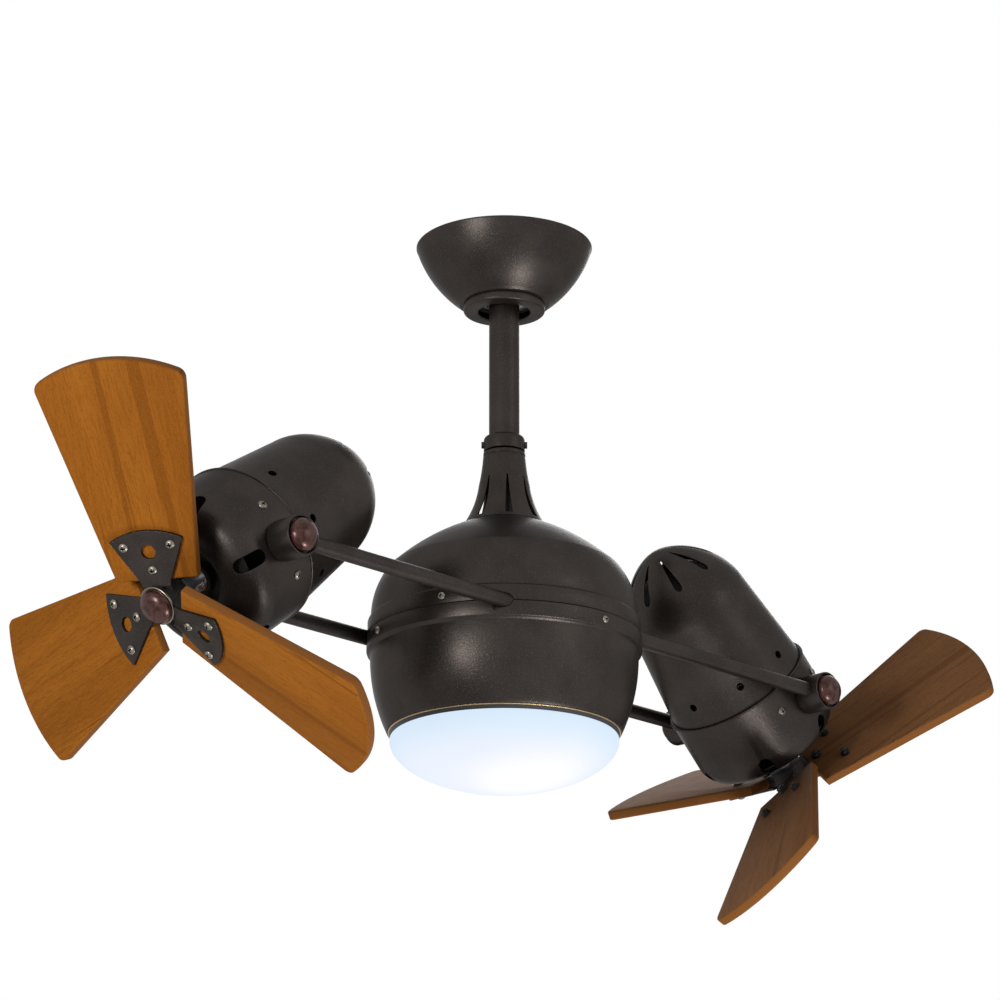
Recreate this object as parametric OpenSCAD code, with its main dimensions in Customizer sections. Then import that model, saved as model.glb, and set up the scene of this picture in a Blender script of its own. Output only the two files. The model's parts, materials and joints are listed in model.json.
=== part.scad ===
// Twin head ceiling fan: a light body turns on a downrod and carries two tilting fan heads.
// Millimetres. +Z is up, the ceiling is z = 0, the arms lie along X and the tilt axes along Y.

/* [Ceiling bracket and ball] */
// Radius of the bracket's round plate
plate_r = 56; // [48:1:64]
// Thickness of the bracket's plate
plate_t = 3; // [2:0.5:5]
// Distance between the two ceiling screws
ceiling_pitch = 89; // [80:1:96]
// Width of the slots for the ceiling screws
ceiling_slot_w = 5.5; // [4.5:0.5:7]
// Length of the slots for the ceiling screws
ceiling_slot_l = 13; // [10:1:16]
// Depth of the ball's centre below the ceiling
ball_drop = 32; // [30:0.5:34]
// Diameter of the hanger ball
ball_d = 50; // [46:1:52]
// Radius of the seat ring under the ball
seat_r = 36; // [34:0.5:38]
// Height of the seat ring
seat_h = 8.5; // [7:0.5:9.5]
// Width of the tab that stops the ball from turning
tab_w = 4; // [3:0.5:5]

/* [Canopy] */
// Outer radius of the canopy at the ceiling
canopy_r = 77.7; // [72:0.1:84]
// Height of the canopy
canopy_h = 54; // [52:0.5:58]
// Outer radius of the canopy at its lower end
canopy_low_r = 39.5; // [38:0.5:46]
// How far the canopy's side bulges out of a straight cone
canopy_bulge = 5; // [2:0.5:8]
// Wall of the canopy
canopy_wall = 1.2; // [0.8:0.1:2]
// Outer radius of the trim ring
trim_r = 36; // [34:0.5:38]
// Radius of the opening in the trim ring
trim_hole_r = 23; // [20:0.5:26]
// Height of the trim ring
trim_h = 7.5; // [6:0.5:10]
// Number of canopy screws
canopy_screw_n = 3; // [2:1:4]

/* [Downrod and collar] */
// Outer diameter of the downrod pipe
rod_d = 26.7; // [24:0.1:28]
// Wall of the downrod pipe
rod_wall = 2.9; // [2.4:0.1:3.6]
// Distance from the ball's centre to the top of the collar
rod_len = 144.5; // [120:0.5:600]
// Outer radius of the coupling collar
collar_r = 18; // [16.5:0.5:21]
// Height of the coupling collar
collar_h = 15; // [14.5:0.5:22]
// Diameter of the cross pins
cross_pin_d = 5; // [4:0.5:5.5]
// Diameter of the set screws
set_screw_d = 6; // [5:0.5:7]
// How far the collar's set screws stand proud
set_screw_proud = 2; // [0:0.5:4]
// Bore of the spindle, for the leads
spindle_bore_d = 12; // [11.5:0.5:14]
// Diameter of the supply lead
supply_lead_d = 3.2; // [2:0.1:3.3]

/* [Neck and top cap] */
// Height of the flared neck cover
neck_h = 67; // [56:1:90]
// Radius of the neck cover at its top
neck_top_r = 18.5; // [17.5:0.5:20]
// Radius of the neck cover below its straight stretch
neck_mid_r = 22.2; // [20.5:0.1:25]
// Radius of the neck cover at its foot
neck_foot_r = 36; // [34:0.5:42]
// Wall of the neck cover
neck_wall = 1.5; // [1:0.1:2]
// Number of vents in the neck cover
neck_vent_n = 8; // [4:1:10]
// Width of a neck vent at its foot
neck_vent_w = 6.5; // [4:0.5:8]
// Turn of the neck vents about the rod, in degrees
neck_vent_turn = 6.5; // [0:0.5:45]
// Height of the domed top cap
cap_h = 41; // [32:0.5:46]
// Radius of the seam between the top cap and the upper shell
seam_r = 99.7; // [90:0.1:106]
// Bulge of the top cap over its chord
cap_bulge = 3.5; // [0.5:0.5:8]

/* [Body] */
// Height of the upper shell above the belt
shoulder_h = 45; // [40:0.5:56]
// Bulge of the upper shell's side over its chord
shoulder_bulge = 4.3; // [1:0.1:8]
// How far the upper shell stays inside the lower shell's radius at the belt
shoulder_in = 0.4; // [-0.6:0.1:4]
// Height of each of the belt's two bands
band_h = 13.5; // [12:0.5:18]
// How far the upper band stands out from the lower shell under it
upper_band_out = 2.4; // [2:0.1:5]
// How far the lower band stands out from the lower shell under it
lower_band_out = 3.2; // [2.6:0.1:6]
// Height of the lower shell under the belt
bowl_h = 72; // [60:1:90]
// Radius of the lower shell under the belt
bowl_top_r = 115.2; // [112:0.2:116]
// Radius of the lower shell at its rim
bowl_rim_r = 99.4; // [96:0.2:104]
// How far the lower shell's side bulges
bowl_bulge = 3.9; // [2:0.1:6]
// Wall of the body's shells
shell_wall = 1.5; // [1:0.1:2]
// Radius of the hub tube that carries the body
hub_r = 31; // [29:0.5:33]
// Outer radius of the carriage bearings
bearing_r = 17; // [15:0.5:19]
// Height of a carriage bearing
bearing_h = 10; // [8:1:12]
// Length of the clamp round each arm
clamp_l = 54; // [40:1:70]

/* [Light] */
// Depth of the glass bowl below its rim
glass_h = 46; // [30:1:60]
// Wall of the glass bowl
glass_wall = 3; // [2:0.5:4]
// Thickness of the light pan
pan_t = 2; // [1:0.5:3]
// Radius of the diode board
board_r = 80; // [60:1:86]
// Number of diodes in the outer ring
diode_n = 16; // [8:1:24]
// Size of the driver box: X, Y, Z
driver_size = [92, 54, 28];

/* [Arms and pivots] */
// Distance between the two tilt axes
span = 642; // [620:1:680]
// Distance between the centre lines of the two arms
arm_pitch = 162; // [161:0.5:168]
// Outer diameter of an arm tube
arm_d = 13; // [11:0.5:14]
// Wall of an arm tube
arm_wall = 1.5; // [1:0.1:2]
// Outer diameter of a pivot barrel
barrel_d = 34; // [31:0.5:38]
// Length of a pivot barrel
barrel_l = 24; // [20:0.5:25]
// Diameter of the trunnion pins
trunnion_d = 12; // [10:0.5:13]
// Diameter of the domed pivot caps
dome_cap_d = 29.5; // [28:0.5:30.5]
// Diameter of the domed hub caps
hub_cap_d = 31.5; // [28:0.5:31.5]
// Height of the domed caps
dome_cap_h = 10; // [6:0.5:13]
// Tilt of the left head at rest, in degrees below level
left_tilt = 38; // [0:1:70]
// Tilt of the right head at rest, in degrees below level
right_tilt = 43.5; // [0:0.5:70]

/* [Heads] */
// Gap between a head's front shell and the pivot barrels beside it
head_gap = 0.6; // [0.4:0.1:1.6]
// Distance from the pivot to the seam behind it
seam_back = 27; // [22:0.5:34]
// Distance from the pivot to the front face
face_front = 45; // [42:0.5:50]
// Radius of the rounded shoulder of the front shell
shoulder_round = 22; // [16:0.5:24]
// Radius of the opening in the front face
face_hole_r = 33; // [20:1:40]
// Wall of the front shell
head_wall = 1.6; // [1:0.1:2]
// Wall of the rear shell
rear_wall = 1.5; // [1:0.1:2]
// Radius of the rolled bead at the seam
bead_r = 1.2; // [0.8:0.1:1.6]
// Radius of the rear shell where its dome starts
dome_r = 57; // [50:0.5:62]
// Distance from the pivot to the start of the rear dome
dome_start = 114; // [90:1:120]
// Distance from the pivot to the tip of the rear dome
dome_end = 176.5; // [150:0.5:184]
// Roundness of the rear dome: 2 is an ellipse, less is more pointed
dome_power = 1.7; // [1.5:0.1:2.2]
// Length of an oval vent in the front shell
oval_l = 28; // [18:1:30]
// Width of an oval vent in the front shell
oval_w = 12.5; // [7:0.5:14]
// Number of oval vents
oval_n = 6; // [4:1:8]
// Diameter of the round holes in the rear shell
round_hole_d = 7.5; // [5:0.5:9]
// Number of round holes, and of teardrop vents
rear_hole_n = 8; // [6:1:10]
// Largest width of a teardrop vent
drop_w = 7; // [4:0.5:8]

/* [Motors] */
// Radius of the motor shaft
shaft_r = 6; // [5:0.5:6.5]
// Outer radius of the motor's frame boss
boss_r = 14.5; // [14:0.5:16]
// Outer radius of the rotor bell
bell_r = 50; // [46:0.5:54]
// Radius of the end shield behind the front opening
shield_r = 44; // [36:1:48]
// Length of the stator
stator_l = 24; // [18:1:26]
// Number of stator teeth
tooth_n = 9; // [6:3:9]

/* [Rotors] */
// Distance from the pivot to the middle of the blades
rotor_front = 78; // [76:0.5:86]
// Radius of the blade circle
rotor_r = 207; // [190:1:208]
// Radius of the blade tip's corners, along the blade
tip_corner_r = 190; // [176:1:192]
// Rounding of the blade tip's corners
tip_round = 6; // [3:0.5:11]
// Width of a blade at its tip
blade_tip_w = 128; // [110:1:132]
// Width of a blade at its root
blade_root_w = 70; // [60:1:74]
// Distance from the shaft's axis to the blade's root
blade_root_r = 20; // [19.5:0.5:28]
// Thickness of a blade
blade_t = 9; // [6:0.5:10]
// Pitch of the blades, in degrees
blade_pitch = 18.5; // [8:0.5:20]
// Turn of the left rotor at rest, in degrees
left_rotor_turn = -17.5; // [-60:0.5:60]
// Turn of the right rotor at rest, in degrees
right_rotor_turn = 38; // [-60:0.5:60]
// Thickness of a blade iron
iron_t = 3; // [2:0.5:4]
// Half width of a blade iron at its outer corners
iron_half_w = 31.3; // [27:0.1:32]
// Distance from the shaft's axis to the iron's outer corners
iron_corner_r = 56; // [54:0.5:60]
// Distance from the shaft's axis to the top of the iron's arc
iron_top_r = 64; // [62:0.5:70]
// Diameter of the hole in a blade iron
iron_hole_d = 12; // [6:0.5:13]
// Radius of the blade hub
blade_hub_r = 15.3; // [15:0.1:15.6]

/* [Hidden] */
$fn = 64;
rotor_n = 3;
// clearance of a running fit, of a slip fit and of a free gap
fit = 0.05;
slip = 0.1;
free = 0.3;
// gap between the fixed collar and the turning neck cover
run_gap = 1.2;
eps = 0.5;

ball_r = ball_d / 2;
rod_r = rod_d / 2;
rod_bore_r = rod_r - rod_wall;
spindle_r = rod_bore_r - slip;
arm_r = arm_d / 2;
barrel_r = barrel_d / 2;
trunnion_r = trunnion_d / 2;
dome_cap_r = dome_cap_d / 2;

// the belt follows the lower shell
shoulder_r = bowl_top_r - shoulder_in;
upper_band_r = bowl_top_r + upper_band_out;
lower_band_r = bowl_top_r + lower_band_out;

// heights, from the ceiling down
z_ball = -ball_drop;
z_canopy = -canopy_h;
z_trim = z_canopy - trim_h;
z_seat = z_canopy + canopy_wall;
z_collar_top = z_ball - rod_len;
z_collar = z_collar_top - collar_h;
z_neck_top = z_collar - run_gap;
z_neck = z_neck_top - neck_h;
z_seam = z_neck - cap_h;
z_belt_top = z_seam - shoulder_h;
z_arm = z_belt_top - 2 - band_h;
z_belt = z_arm - band_h;
z_rim = z_belt - bowl_h;

// stack inside the body
z_upper_bearing = z_neck - 5;
z_lower_bearing = z_arm + 18;
z_spindle_end = z_lower_bearing - bearing_h - 16;
z_pan = z_rim + 8.5;
z_glass_seat = z_rim + 5;
canopy_hole_r = trim_hole_r + 2;
seat_hole_r = rod_r + 4.2;

// ends of the arms and the pivots
barrel_in = arm_pitch / 2 - barrel_l / 2 - 0.4;
barrel_out = barrel_in + barrel_l;
arm_sink = 7.5;
arm_half = span / 2 - barrel_r + arm_sink + 1;
head_r = barrel_in - head_gap;
cap_socket = 4.5;
cap_spigot_r = trunnion_r + 6;

// stations along a head, measured from the pivot towards the rotor
z_frame_plate = 10;
frame_plate_t = 4;
z_skirt = -2;
frame_r = head_r - head_wall - slip;
skirt_r = frame_r - 0.2;
frame_back = -12;
z_boss_back = -36;
z_boss_front = 38;
head_bearing_r = 11;
head_bearing_h = 8;
stator_r = bell_r - 5.5;
bell_front = -5;
z_bell_back = -44;
hub_back = rotor_front - 14;
hub_front = rotor_front + 10;
tongue_half_w = 5;
tongue_in = shaft_r + 3;
iron_neck_half_w = 13;

// ---- helpers ----

// points of an arc from p to q whose middle stands off the chord by b
function arc(p, q, b, n = 8) =
    let (c = norm(q - p),
         t = (q - p) / c,
         side = [-t[1], t[0]],
         s = sign(b),
         big = (c * c / 4 + b * b) / (2 * abs(b)),
         half = asin(c / 2 / big),
         mid = (p + q) / 2 + side * (b - s * big))
    [for (i = [0:n])
        let (a = -half + 2 * half * i / n)
        mid + big * (sin(a) * t + s * cos(a) * side)];

// a rounded corner at q between the directions of p and s
function corner(p, q, s, r, n = 5) =
    let (a = q + r * (p - q) / norm(p - q), b = q + r * (s - q) / norm(s - q))
    [for (i = [0:n])
        let (t = i / n)
        (1 - t) * (1 - t) * a + 2 * t * (1 - t) * q + t * t * b];

function reverse(v) = [for (i = [len(v) - 1:-1:0]) v[i]];

// a quarter of a superellipse: radius rx, height hz, from the rim to the pole
function pole_curve(rx, hz, power, n) =
    [for (i = [0:n])
        let (a = 90 * i / n)
        [rx * pow(cos(a), 2 / power), hz * pow(sin(a), 2 / power)]];

module turned(outer, inner) {
    rotate_extrude() polygon(concat(outer, reverse(inner)));
}

module ring(r_out, r_in, z0, z1) {
    translate([0, 0, z0]) difference() {
        cylinder(r = r_out, h = z1 - z0);
        translate([0, 0, -eps]) cylinder(r = r_in, h = z1 - z0 + 2 * eps);
    }
}

// a rod of radius r along X from x0 to x1
module rod_x(r, x0, x1) {
    translate([x0, 0, 0]) rotate([0, 90, 0]) cylinder(r = r, h = x1 - x0);
}

// a rod of radius r along Y from y0 to y1
module rod_y(r, y0, y1) {
    translate([0, y0, 0]) rotate([-90, 0, 0]) cylinder(r = r, h = y1 - y0);
}

// a stadium of length l and width w, h high, standing on z = 0
module stadium(l, w, h) {
    linear_extrude(height = h) union() {
        translate([-(l - w) / 2, -w / 2]) square([l - w, w]);
        translate([-(l - w) / 2, 0]) circle(d = w);
        translate([(l - w) / 2, 0]) circle(d = w);
    }
}

// a screw with a domed head on z = 0 and its shank below it
module dome_screw(head_d, head_h, shank_d, shank_l) {
    rotate_extrude() polygon(concat(
        [[0, -shank_l], [shank_d / 2, -shank_l], [shank_d / 2, 0], [head_d / 2, 0]],
        arc([head_d / 2, 0.3], [0, head_h], -head_h / 4, 4)));
}

// a domed cap on z = 0 with a spigot below it
module dome_cap(r, h, spigot_r, spigot_l) {
    dome = pole_curve(r, h - 1, 2, 8);
    rotate_extrude() polygon(concat(
        [[0, -spigot_l], [spigot_r, -spigot_l], [spigot_r, 0], [r, 0]],
        [for (p = dome) [p[0], p[1] + 1]]));
}

// ---- hung from the ceiling ----

module ceiling_bracket() {
    color("dimgray") difference() {
        union() {
            ring(plate_r, ball_r + 2, -plate_t, 0);
            ring(seat_r, seat_hole_r, z_seat, z_seat + seat_h);
            for (s = [-1, 1])
                translate([-12, s * (seat_r - 2) - 1.5, z_seat + eps])
                    cube([24, 3, -plate_t - z_seat]);
            translate([ball_r - 2.5, -tab_w / 2, z_seat + seat_h - eps])
                cube([seat_r - ball_r, tab_w, 12]);
        }
        translate([0, 0, z_ball]) sphere(r = ball_r + fit);
        for (s = [-1, 1])
            translate([0, s * ceiling_pitch / 2, -plate_t - eps])
                rotate([0, 0, 90]) stadium(ceiling_slot_l, ceiling_slot_w, plate_t + 2 * eps);
        canopy_screw_places() translate([0, 0, -eps]) cylinder(r = 2, h = 7);
    }
    color("dimgray") ball_tab();
}

// the tab that stands in the ball's slot
module ball_tab() {
    translate([ball_r - 2.4, -tab_w / 2, z_seat + seat_h - eps])
        cube([seat_r - ball_r, tab_w, 12]);
}

module canopy_screw_places() {
    for (i = [0:canopy_screw_n - 1])
        rotate([0, 0, 60 + 360 * i / canopy_screw_n])
            translate([seat_r - 5.5, 0, z_seat]) children();
}

module canopy() {
    outer = arc([canopy_r, 0], [canopy_low_r, z_canopy], canopy_bulge, 10);
    inner = arc([canopy_r - canopy_wall, 0],
        [canopy_low_r - canopy_wall, z_seat], canopy_bulge, 10);
    color("dimgray") difference() {
        turned(concat(outer, [[canopy_hole_r, z_canopy]]),
            concat(inner, [[canopy_hole_r, z_seat]]));
        canopy_screw_places() translate([0, 0, -5]) cylinder(r = 2.2, h = 10);
    }
}

module canopy_trim_ring() {
    round_r = 3;
    wall = 1.6;
    color("dimgray") rotate_extrude() polygon(concat(
        [[trim_r - wall, z_canopy], [trim_r, z_canopy]],
        arc([trim_r, z_trim + round_r], [trim_r - round_r, z_trim], round_r * 0.29, 4),
        [[trim_hole_r, z_trim], [trim_hole_r, z_trim + wall],
         [trim_r - round_r, z_trim + wall], [trim_r - wall, z_trim + round_r]]));
}

module canopy_screws() {
    color("silver") canopy_screw_places()
        translate([0, 0, -canopy_wall]) rotate([180, 0, 0])
            dome_screw(7, 2.4, 3.8, canopy_wall + 5);
}

// ---- hung from the ball ----

module hanger_ball() {
    slot_w = tab_w + 5;
    color("ivory") difference() {
        translate([0, 0, z_ball]) sphere(r = ball_r);
        translate([0, 0, z_ball - ball_r - eps]) cylinder(r = rod_r + fit, h = ball_d + 2 * eps);
        translate([0, 0, z_ball]) rod_x(cross_pin_d / 2 + fit, -ball_r - eps, ball_r + eps);
        translate([0, 0, z_ball + 9]) rod_y(set_screw_d / 2 + fit, 0, ball_r + eps);
        translate([ball_r - 3.5, -slot_w / 2, z_ball - ball_r]) cube([5, slot_w, ball_d]);
    }
}

module cross_pins() {
    color("silver") {
        translate([0, 0, z_ball]) rod_x(cross_pin_d / 2, -ball_r + 5, ball_r - 5);
        translate([0, 0, z_collar_top - 6]) rod_x(cross_pin_d / 2, -rod_r + 3 * slip, rod_r - 3 * slip);
    }
}

module set_screw(l) {
    difference() {
        cylinder(d = set_screw_d, h = l);
        translate([0, 0, l - 3]) cylinder(d = set_screw_d / 2, h = 3 + eps, $fn = 6);
    }
}

module collar_screw_places() {
    for (a = [-45, 135])
        rotate([0, 0, a]) translate([rod_r + slip, 0, z_collar_top - 8.5])
            rotate([0, 90, 0]) children();
}

module set_screws() {
    color("gray") {
        translate([0, rod_r + slip, z_ball + 9]) rotate([-90, 0, 0])
            set_screw(ball_r - rod_r - 4);
        collar_screw_places() set_screw(collar_r - rod_r + set_screw_proud - slip);
    }
}

module downrod() {
    color("dimgray") difference() {
        ring(rod_r, rod_bore_r, z_collar_top - 11, z_ball + ball_r - 4);
        for (z = [z_ball, z_collar_top - 6])
            translate([0, 0, z]) rod_x(cross_pin_d / 2 + fit, -rod_r - eps, rod_r + eps);
    }
}

module supply_lead() {
    offset_y = spindle_bore_d / 2 - supply_lead_d / 2 - slip;
    color("black") translate([0, offset_y, z_upper_bearing - bearing_h - 25])
        cylinder(d = supply_lead_d, h = z_ball + ball_r - 6 - (z_upper_bearing - bearing_h - 25));
}

module coupling_collar() {
    round_h = 4;
    color("dimgray") difference() {
        rotate_extrude() polygon(concat(
            [[rod_r + fit, z_collar_top]],
            arc([rod_r + 1, z_collar_top], [collar_r, z_collar_top - round_h], 1, 5),
            [[collar_r, z_collar + 0.6], [collar_r - 0.6, z_collar], [spindle_r + fit, z_collar],
             [spindle_r + fit, z_collar_top - 11 - slip],
             [rod_r + fit, z_collar_top - 11 - slip]]));
        collar_screw_places() translate([0, 0, -1]) cylinder(d = set_screw_d + 2 * fit, h = 12);
    }
}

module spindle() {
    top = z_collar_top + 6;
    color("silver") difference() {
        ring(spindle_r, spindle_bore_d / 2, z_spindle_end, top);
        translate([0, 0, z_collar_top - 6])
            rod_x(cross_pin_d / 2 + fit, -rod_r, rod_r);
    }
}

module spindle_nut() {
    color("silver") difference() {
        translate([0, 0, z_lower_bearing - bearing_h - 10])
            cylinder(r = spindle_r * 1.6, h = 10 - slip, $fn = 6);
        translate([0, 0, z_spindle_end]) cylinder(r = spindle_r + fit, h = 30);
    }
}

module slip_ring_core() {
    core_r = spindle_r + 5.6;
    z0 = z_upper_bearing - bearing_h - 46;
    color("goldenrod") rotate_extrude() polygon(concat(
        [[spindle_r + fit, z0], [core_r, z0]],
        [for (i = [0:3]) each [[core_r, z0 + 4 + 8 * i], [core_r - 1, z0 + 5 + 8 * i],
            [core_r - 1, z0 + 7 + 8 * i], [core_r, z0 + 8 + 8 * i]]],
        [[core_r, z0 + 36], [spindle_r + fit, z0 + 36]]));
}

// ---- the turning carriage ----

function neck_curve(inset) = concat(
    arc([neck_top_r - inset, z_neck_top], [neck_mid_r - inset, z_neck_top - neck_h * 0.45],
        -0.4, 4),
    arc([neck_mid_r - inset, z_neck_top - neck_h * 0.45], [neck_foot_r - inset, z_neck],
        -2.2, 6));

module neck_cover() {
    top_t = 2;
    outer = neck_curve(0);
    inner = neck_curve(neck_wall);
    color("dimgray") difference() {
        union() {
            turned(outer, inner);
            ring(neck_top_r - neck_wall / 2, spindle_r + 1, z_neck_top - top_t, z_neck_top);
            ring(neck_foot_r - neck_wall / 2, hub_r - 3, z_neck, z_neck + 1.5);
        }
        for (i = [0:neck_vent_n - 1])
            rotate([0, 0, neck_vent_turn + 360 * i / neck_vent_n]) neck_vent();
    }
}

module neck_vent() {
    tip = z_neck_top - neck_h * 0.37;
    foot = z_neck + 3;
    translate([8, 0, 0]) rotate([90, 0, 90]) linear_extrude(height = neck_foot_r)
        polygon([[-neck_vent_w / 2, foot], [neck_vent_w / 2, foot],
            [neck_vent_w / 2 - 0.6, foot + 9], [0.5, tip], [-0.5, tip],
            [-neck_vent_w / 2 + 0.6, foot + 9]]);
}

module top_cap() {
    flat_r = neck_foot_r - 1.5;
    outer = concat([[hub_r - 3, z_neck], [flat_r, z_neck]],
        arc([flat_r + 1, z_neck - 0.6], [seam_r, z_seam], cap_bulge, 10));
    inner = concat([[hub_r - 3, z_neck - shell_wall], [flat_r, z_neck - shell_wall]],
        arc([flat_r + 1, z_neck - 0.6 - shell_wall], [seam_r, z_seam - shell_wall],
            cap_bulge, 10));
    color("dimgray") turned(outer, inner);
}

module arm_holes(clearance) {
    for (s = [-1, 1])
        translate([0, s * arm_pitch / 2, z_arm])
            rod_x(arm_r + clearance, -lower_band_r - 5, lower_band_r + 5);
}

upper_screw_angles = [90, 198, 342];
lower_screw_angles = [20, 90, 160, 270];

module upper_shell() {
    outer = concat([[seam_r + free, z_seam]],
        arc([seam_r + free + 0.6, z_seam - 0.3], [shoulder_r, z_belt_top], shoulder_bulge, 10),
        [[upper_band_r - 0.8, z_belt_top - 1.2], [upper_band_r, z_belt_top - 2.2],
         [upper_band_r, z_arm + 0.6], [upper_band_r - 0.4, z_arm + 0.2],
         [bowl_top_r + 1.2, z_arm + 0.2],
         [bowl_top_r + 1.2, z_arm - band_h + 3]]);
    inner = concat([[seam_r - 8, z_seam - shell_wall - slip]],
        [[seam_r - 8, z_seam - 2 * shell_wall - slip],
         [seam_r - 2, z_seam - 2 * shell_wall - slip]],
        arc([seam_r - 1.5, z_seam - 2 * shell_wall - 1], [shoulder_r - shell_wall, z_belt_top],
            shoulder_bulge, 10),
        [[bowl_top_r - 0.3, z_belt_top - 3], [bowl_top_r - 0.3, z_arm - band_h + 3]]);
    color("dimgray") difference() {
        rotate_extrude() polygon(concat(outer, reverse(inner),
            [[seam_r + free, z_seam - shell_wall - slip]]));
        arm_holes(free);
        belt_screw_places(0);
        belt_screw_places(1);
    }
}

// clearance holes of the belt screws: set 0 is in the upper band, set 1 in the lower
module belt_screw_places(set) {
    angles = set == 0 ? upper_screw_angles : lower_screw_angles;
    z = z_arm + (set == 0 ? 0.52 : -0.5) * band_h;
    for (a = angles)
        rotate([0, 0, a]) translate([0, 0, z]) rod_x(2.1, hub_r + 10, lower_band_r + 5);
}

module lower_shell() {
    inner_band = bowl_top_r + 1.2 + slip;
    outer = concat(
        [[lower_band_r - 0.4, z_arm - 0.1], [lower_band_r, z_arm - 0.5],
         [lower_band_r, z_belt + 0.8], [lower_band_r - 0.8, z_belt]],
        arc([bowl_top_r, z_belt - 2], [bowl_rim_r, z_rim], bowl_bulge, 12));
    inner = concat([[inner_band, z_arm - 0.1], [inner_band, z_belt + 2],
         [bowl_top_r - shell_wall, z_belt]],
        arc([bowl_top_r - shell_wall, z_belt - 2], [bowl_rim_r - shell_wall, z_rim],
            bowl_bulge, 12));
    // the pan's flange runs into the middle of the wall
    u = (z_pan - shell_wall / 2 - z_rim) / (bowl_h - 2);
    flange_r = bowl_rim_r + (bowl_top_r - bowl_rim_r) * u + 4 * bowl_bulge * u * (1 - u)
        - shell_wall / 2;
    color("dimgray") difference() {
        union() {
            turned(outer, inner);
            ring(flange_r, bowl_rim_r - 8, z_pan - shell_wall, z_pan);
        }
        arm_holes(free);
        belt_screw_places(1);
    }
}

module hub_block() {
    boss_in = bearing_r + fit;
    tube_in = hub_r - 4;
    z_top = z_neck - shell_wall;
    z_bot = z_arm - 12;
    color("slategray") difference() {
        union() {
            ring(hub_r, tube_in, z_bot, z_top);
            ring(tube_in + eps, boss_in, z_upper_bearing - bearing_h, z_upper_bearing);
            ring(tube_in + eps, boss_in - 3, z_upper_bearing - bearing_h - 3,
                z_upper_bearing - bearing_h);
            ring(tube_in + eps, boss_in, z_lower_bearing - bearing_h, z_lower_bearing);
            ring(tube_in + eps, boss_in - 3, z_lower_bearing, z_lower_bearing + 3);
            for (s = [-1, 1]) {
                translate([-13, s * (arm_pitch / 2 + hub_r - 6) / 2
                    - (arm_pitch / 2 - hub_r - 2) / 2, z_arm - 9])
                    cube([26, arm_pitch / 2 - hub_r - 2, 18]);
                translate([0, s * arm_pitch / 2, z_arm])
                    rod_x(arm_r + 5, -clamp_l / 2, clamp_l / 2);
            }
            for (a = upper_screw_angles)
                rotate([0, 0, a]) translate([hub_r - 2, -7, z_arm + 0.52 * band_h - 5])
                    cube([bowl_top_r - hub_r + 1.2, 14, 10]);
        }
        for (s = [-1, 1])
            translate([0, s * arm_pitch / 2, z_arm])
                rod_x(arm_r + fit, -clamp_l, clamp_l);
        for (a = upper_screw_angles)
            rotate([0, 0, a]) translate([0, 0, z_arm + 0.52 * band_h])
                rod_x(2.1, bowl_top_r - 12, bowl_top_r + 5);
        clamp_screw_places() cylinder(r = 2.5 + fit, h = 20);
        for (s = [-1, 1]) translate([0, 0, z_upper_bearing - bearing_h - 8])
            rod_x(3, -hub_r - 2, -hub_r + 8);
    }
}

module clamp_screw_places() {
    for (sx = [-1, 1], sy = [-1, 1])
        translate([sx * clamp_l * 0.36, sy * arm_pitch / 2, z_arm + arm_r + slip]) children();
}

module clamp_screws() {
    color("silver") clamp_screw_places()
        difference() {
            cylinder(r = 2.5, h = 8);
            translate([0, 0, 5]) cylinder(r = 1.3, h = 4, $fn = 6);
        }
}

module carriage_bearings() {
    color("silver")
        for (z = [z_upper_bearing, z_lower_bearing])
            difference() {
                ring(bearing_r, spindle_r + fit, z - bearing_h, z);
                ring(bearing_r - 2, spindle_r + 2, z - 1, z + eps);
                ring(bearing_r - 2, spindle_r + 2, z - bearing_h - eps, z - bearing_h + 1);
            }
}

module brush_block() {
    in = spindle_r + 5.6 + free;
    out = hub_r - 4.6;
    z0 = z_upper_bearing - bearing_h - 46;
    color("darkgreen") difference() {
        translate([in, -4, z0 + 1]) cube([out - in, 8, 34]);
        translate([0, 0, z0]) cylinder(r = in, h = 40);
    }
}

module arm(side) {
    color("dimgray") translate([0, side * arm_pitch / 2, z_arm]) difference() {
        rod_x(arm_r, -arm_half, arm_half);
        rod_x(arm_r - arm_wall, -arm_half - eps, arm_half + eps);
    }
}

module front_arm() { arm(-1); }
module rear_arm() { arm(1); }

module belt_screws() {
    color("silver") for (set = [0, 1]) {
        angles = set == 0 ? upper_screw_angles : lower_screw_angles;
        z = z_arm + (set == 0 ? 0.52 : -0.5) * band_h;
        seat = set == 0 ? upper_band_r : lower_band_r;
        for (a = angles)
            rotate([0, 0, a]) translate([seat + 0.1, 0, z]) rotate([0, 90, 0])
                dome_screw(6.4, 2, 4, seat - bowl_top_r + 6);
    }
}

module light_pan() {
    color("white") ring(bowl_rim_r - 4, 8, z_pan, z_pan + pan_t);
}

module driver_box() {
    color("lightgray") translate([-driver_size[0] / 2 + 24, -driver_size[1] / 2, z_pan + pan_t])
        cube(driver_size);
}

module diode_board() {
    board_t = 1.6;
    color("white") ring(board_r, 8, z_pan - board_t, z_pan);
    color("khaki") for (ring_i = [1:3])
        let (n = round(diode_n * ring_i / 3), r = board_r * ring_i / 3 - 5)
            for (i = [0:n - 1])
                rotate([0, 0, 360 * i / n])
                    translate([r - 1.75, -1.75, z_pan - board_t - 1]) cube([3.5, 3.5, 1]);
}

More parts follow.
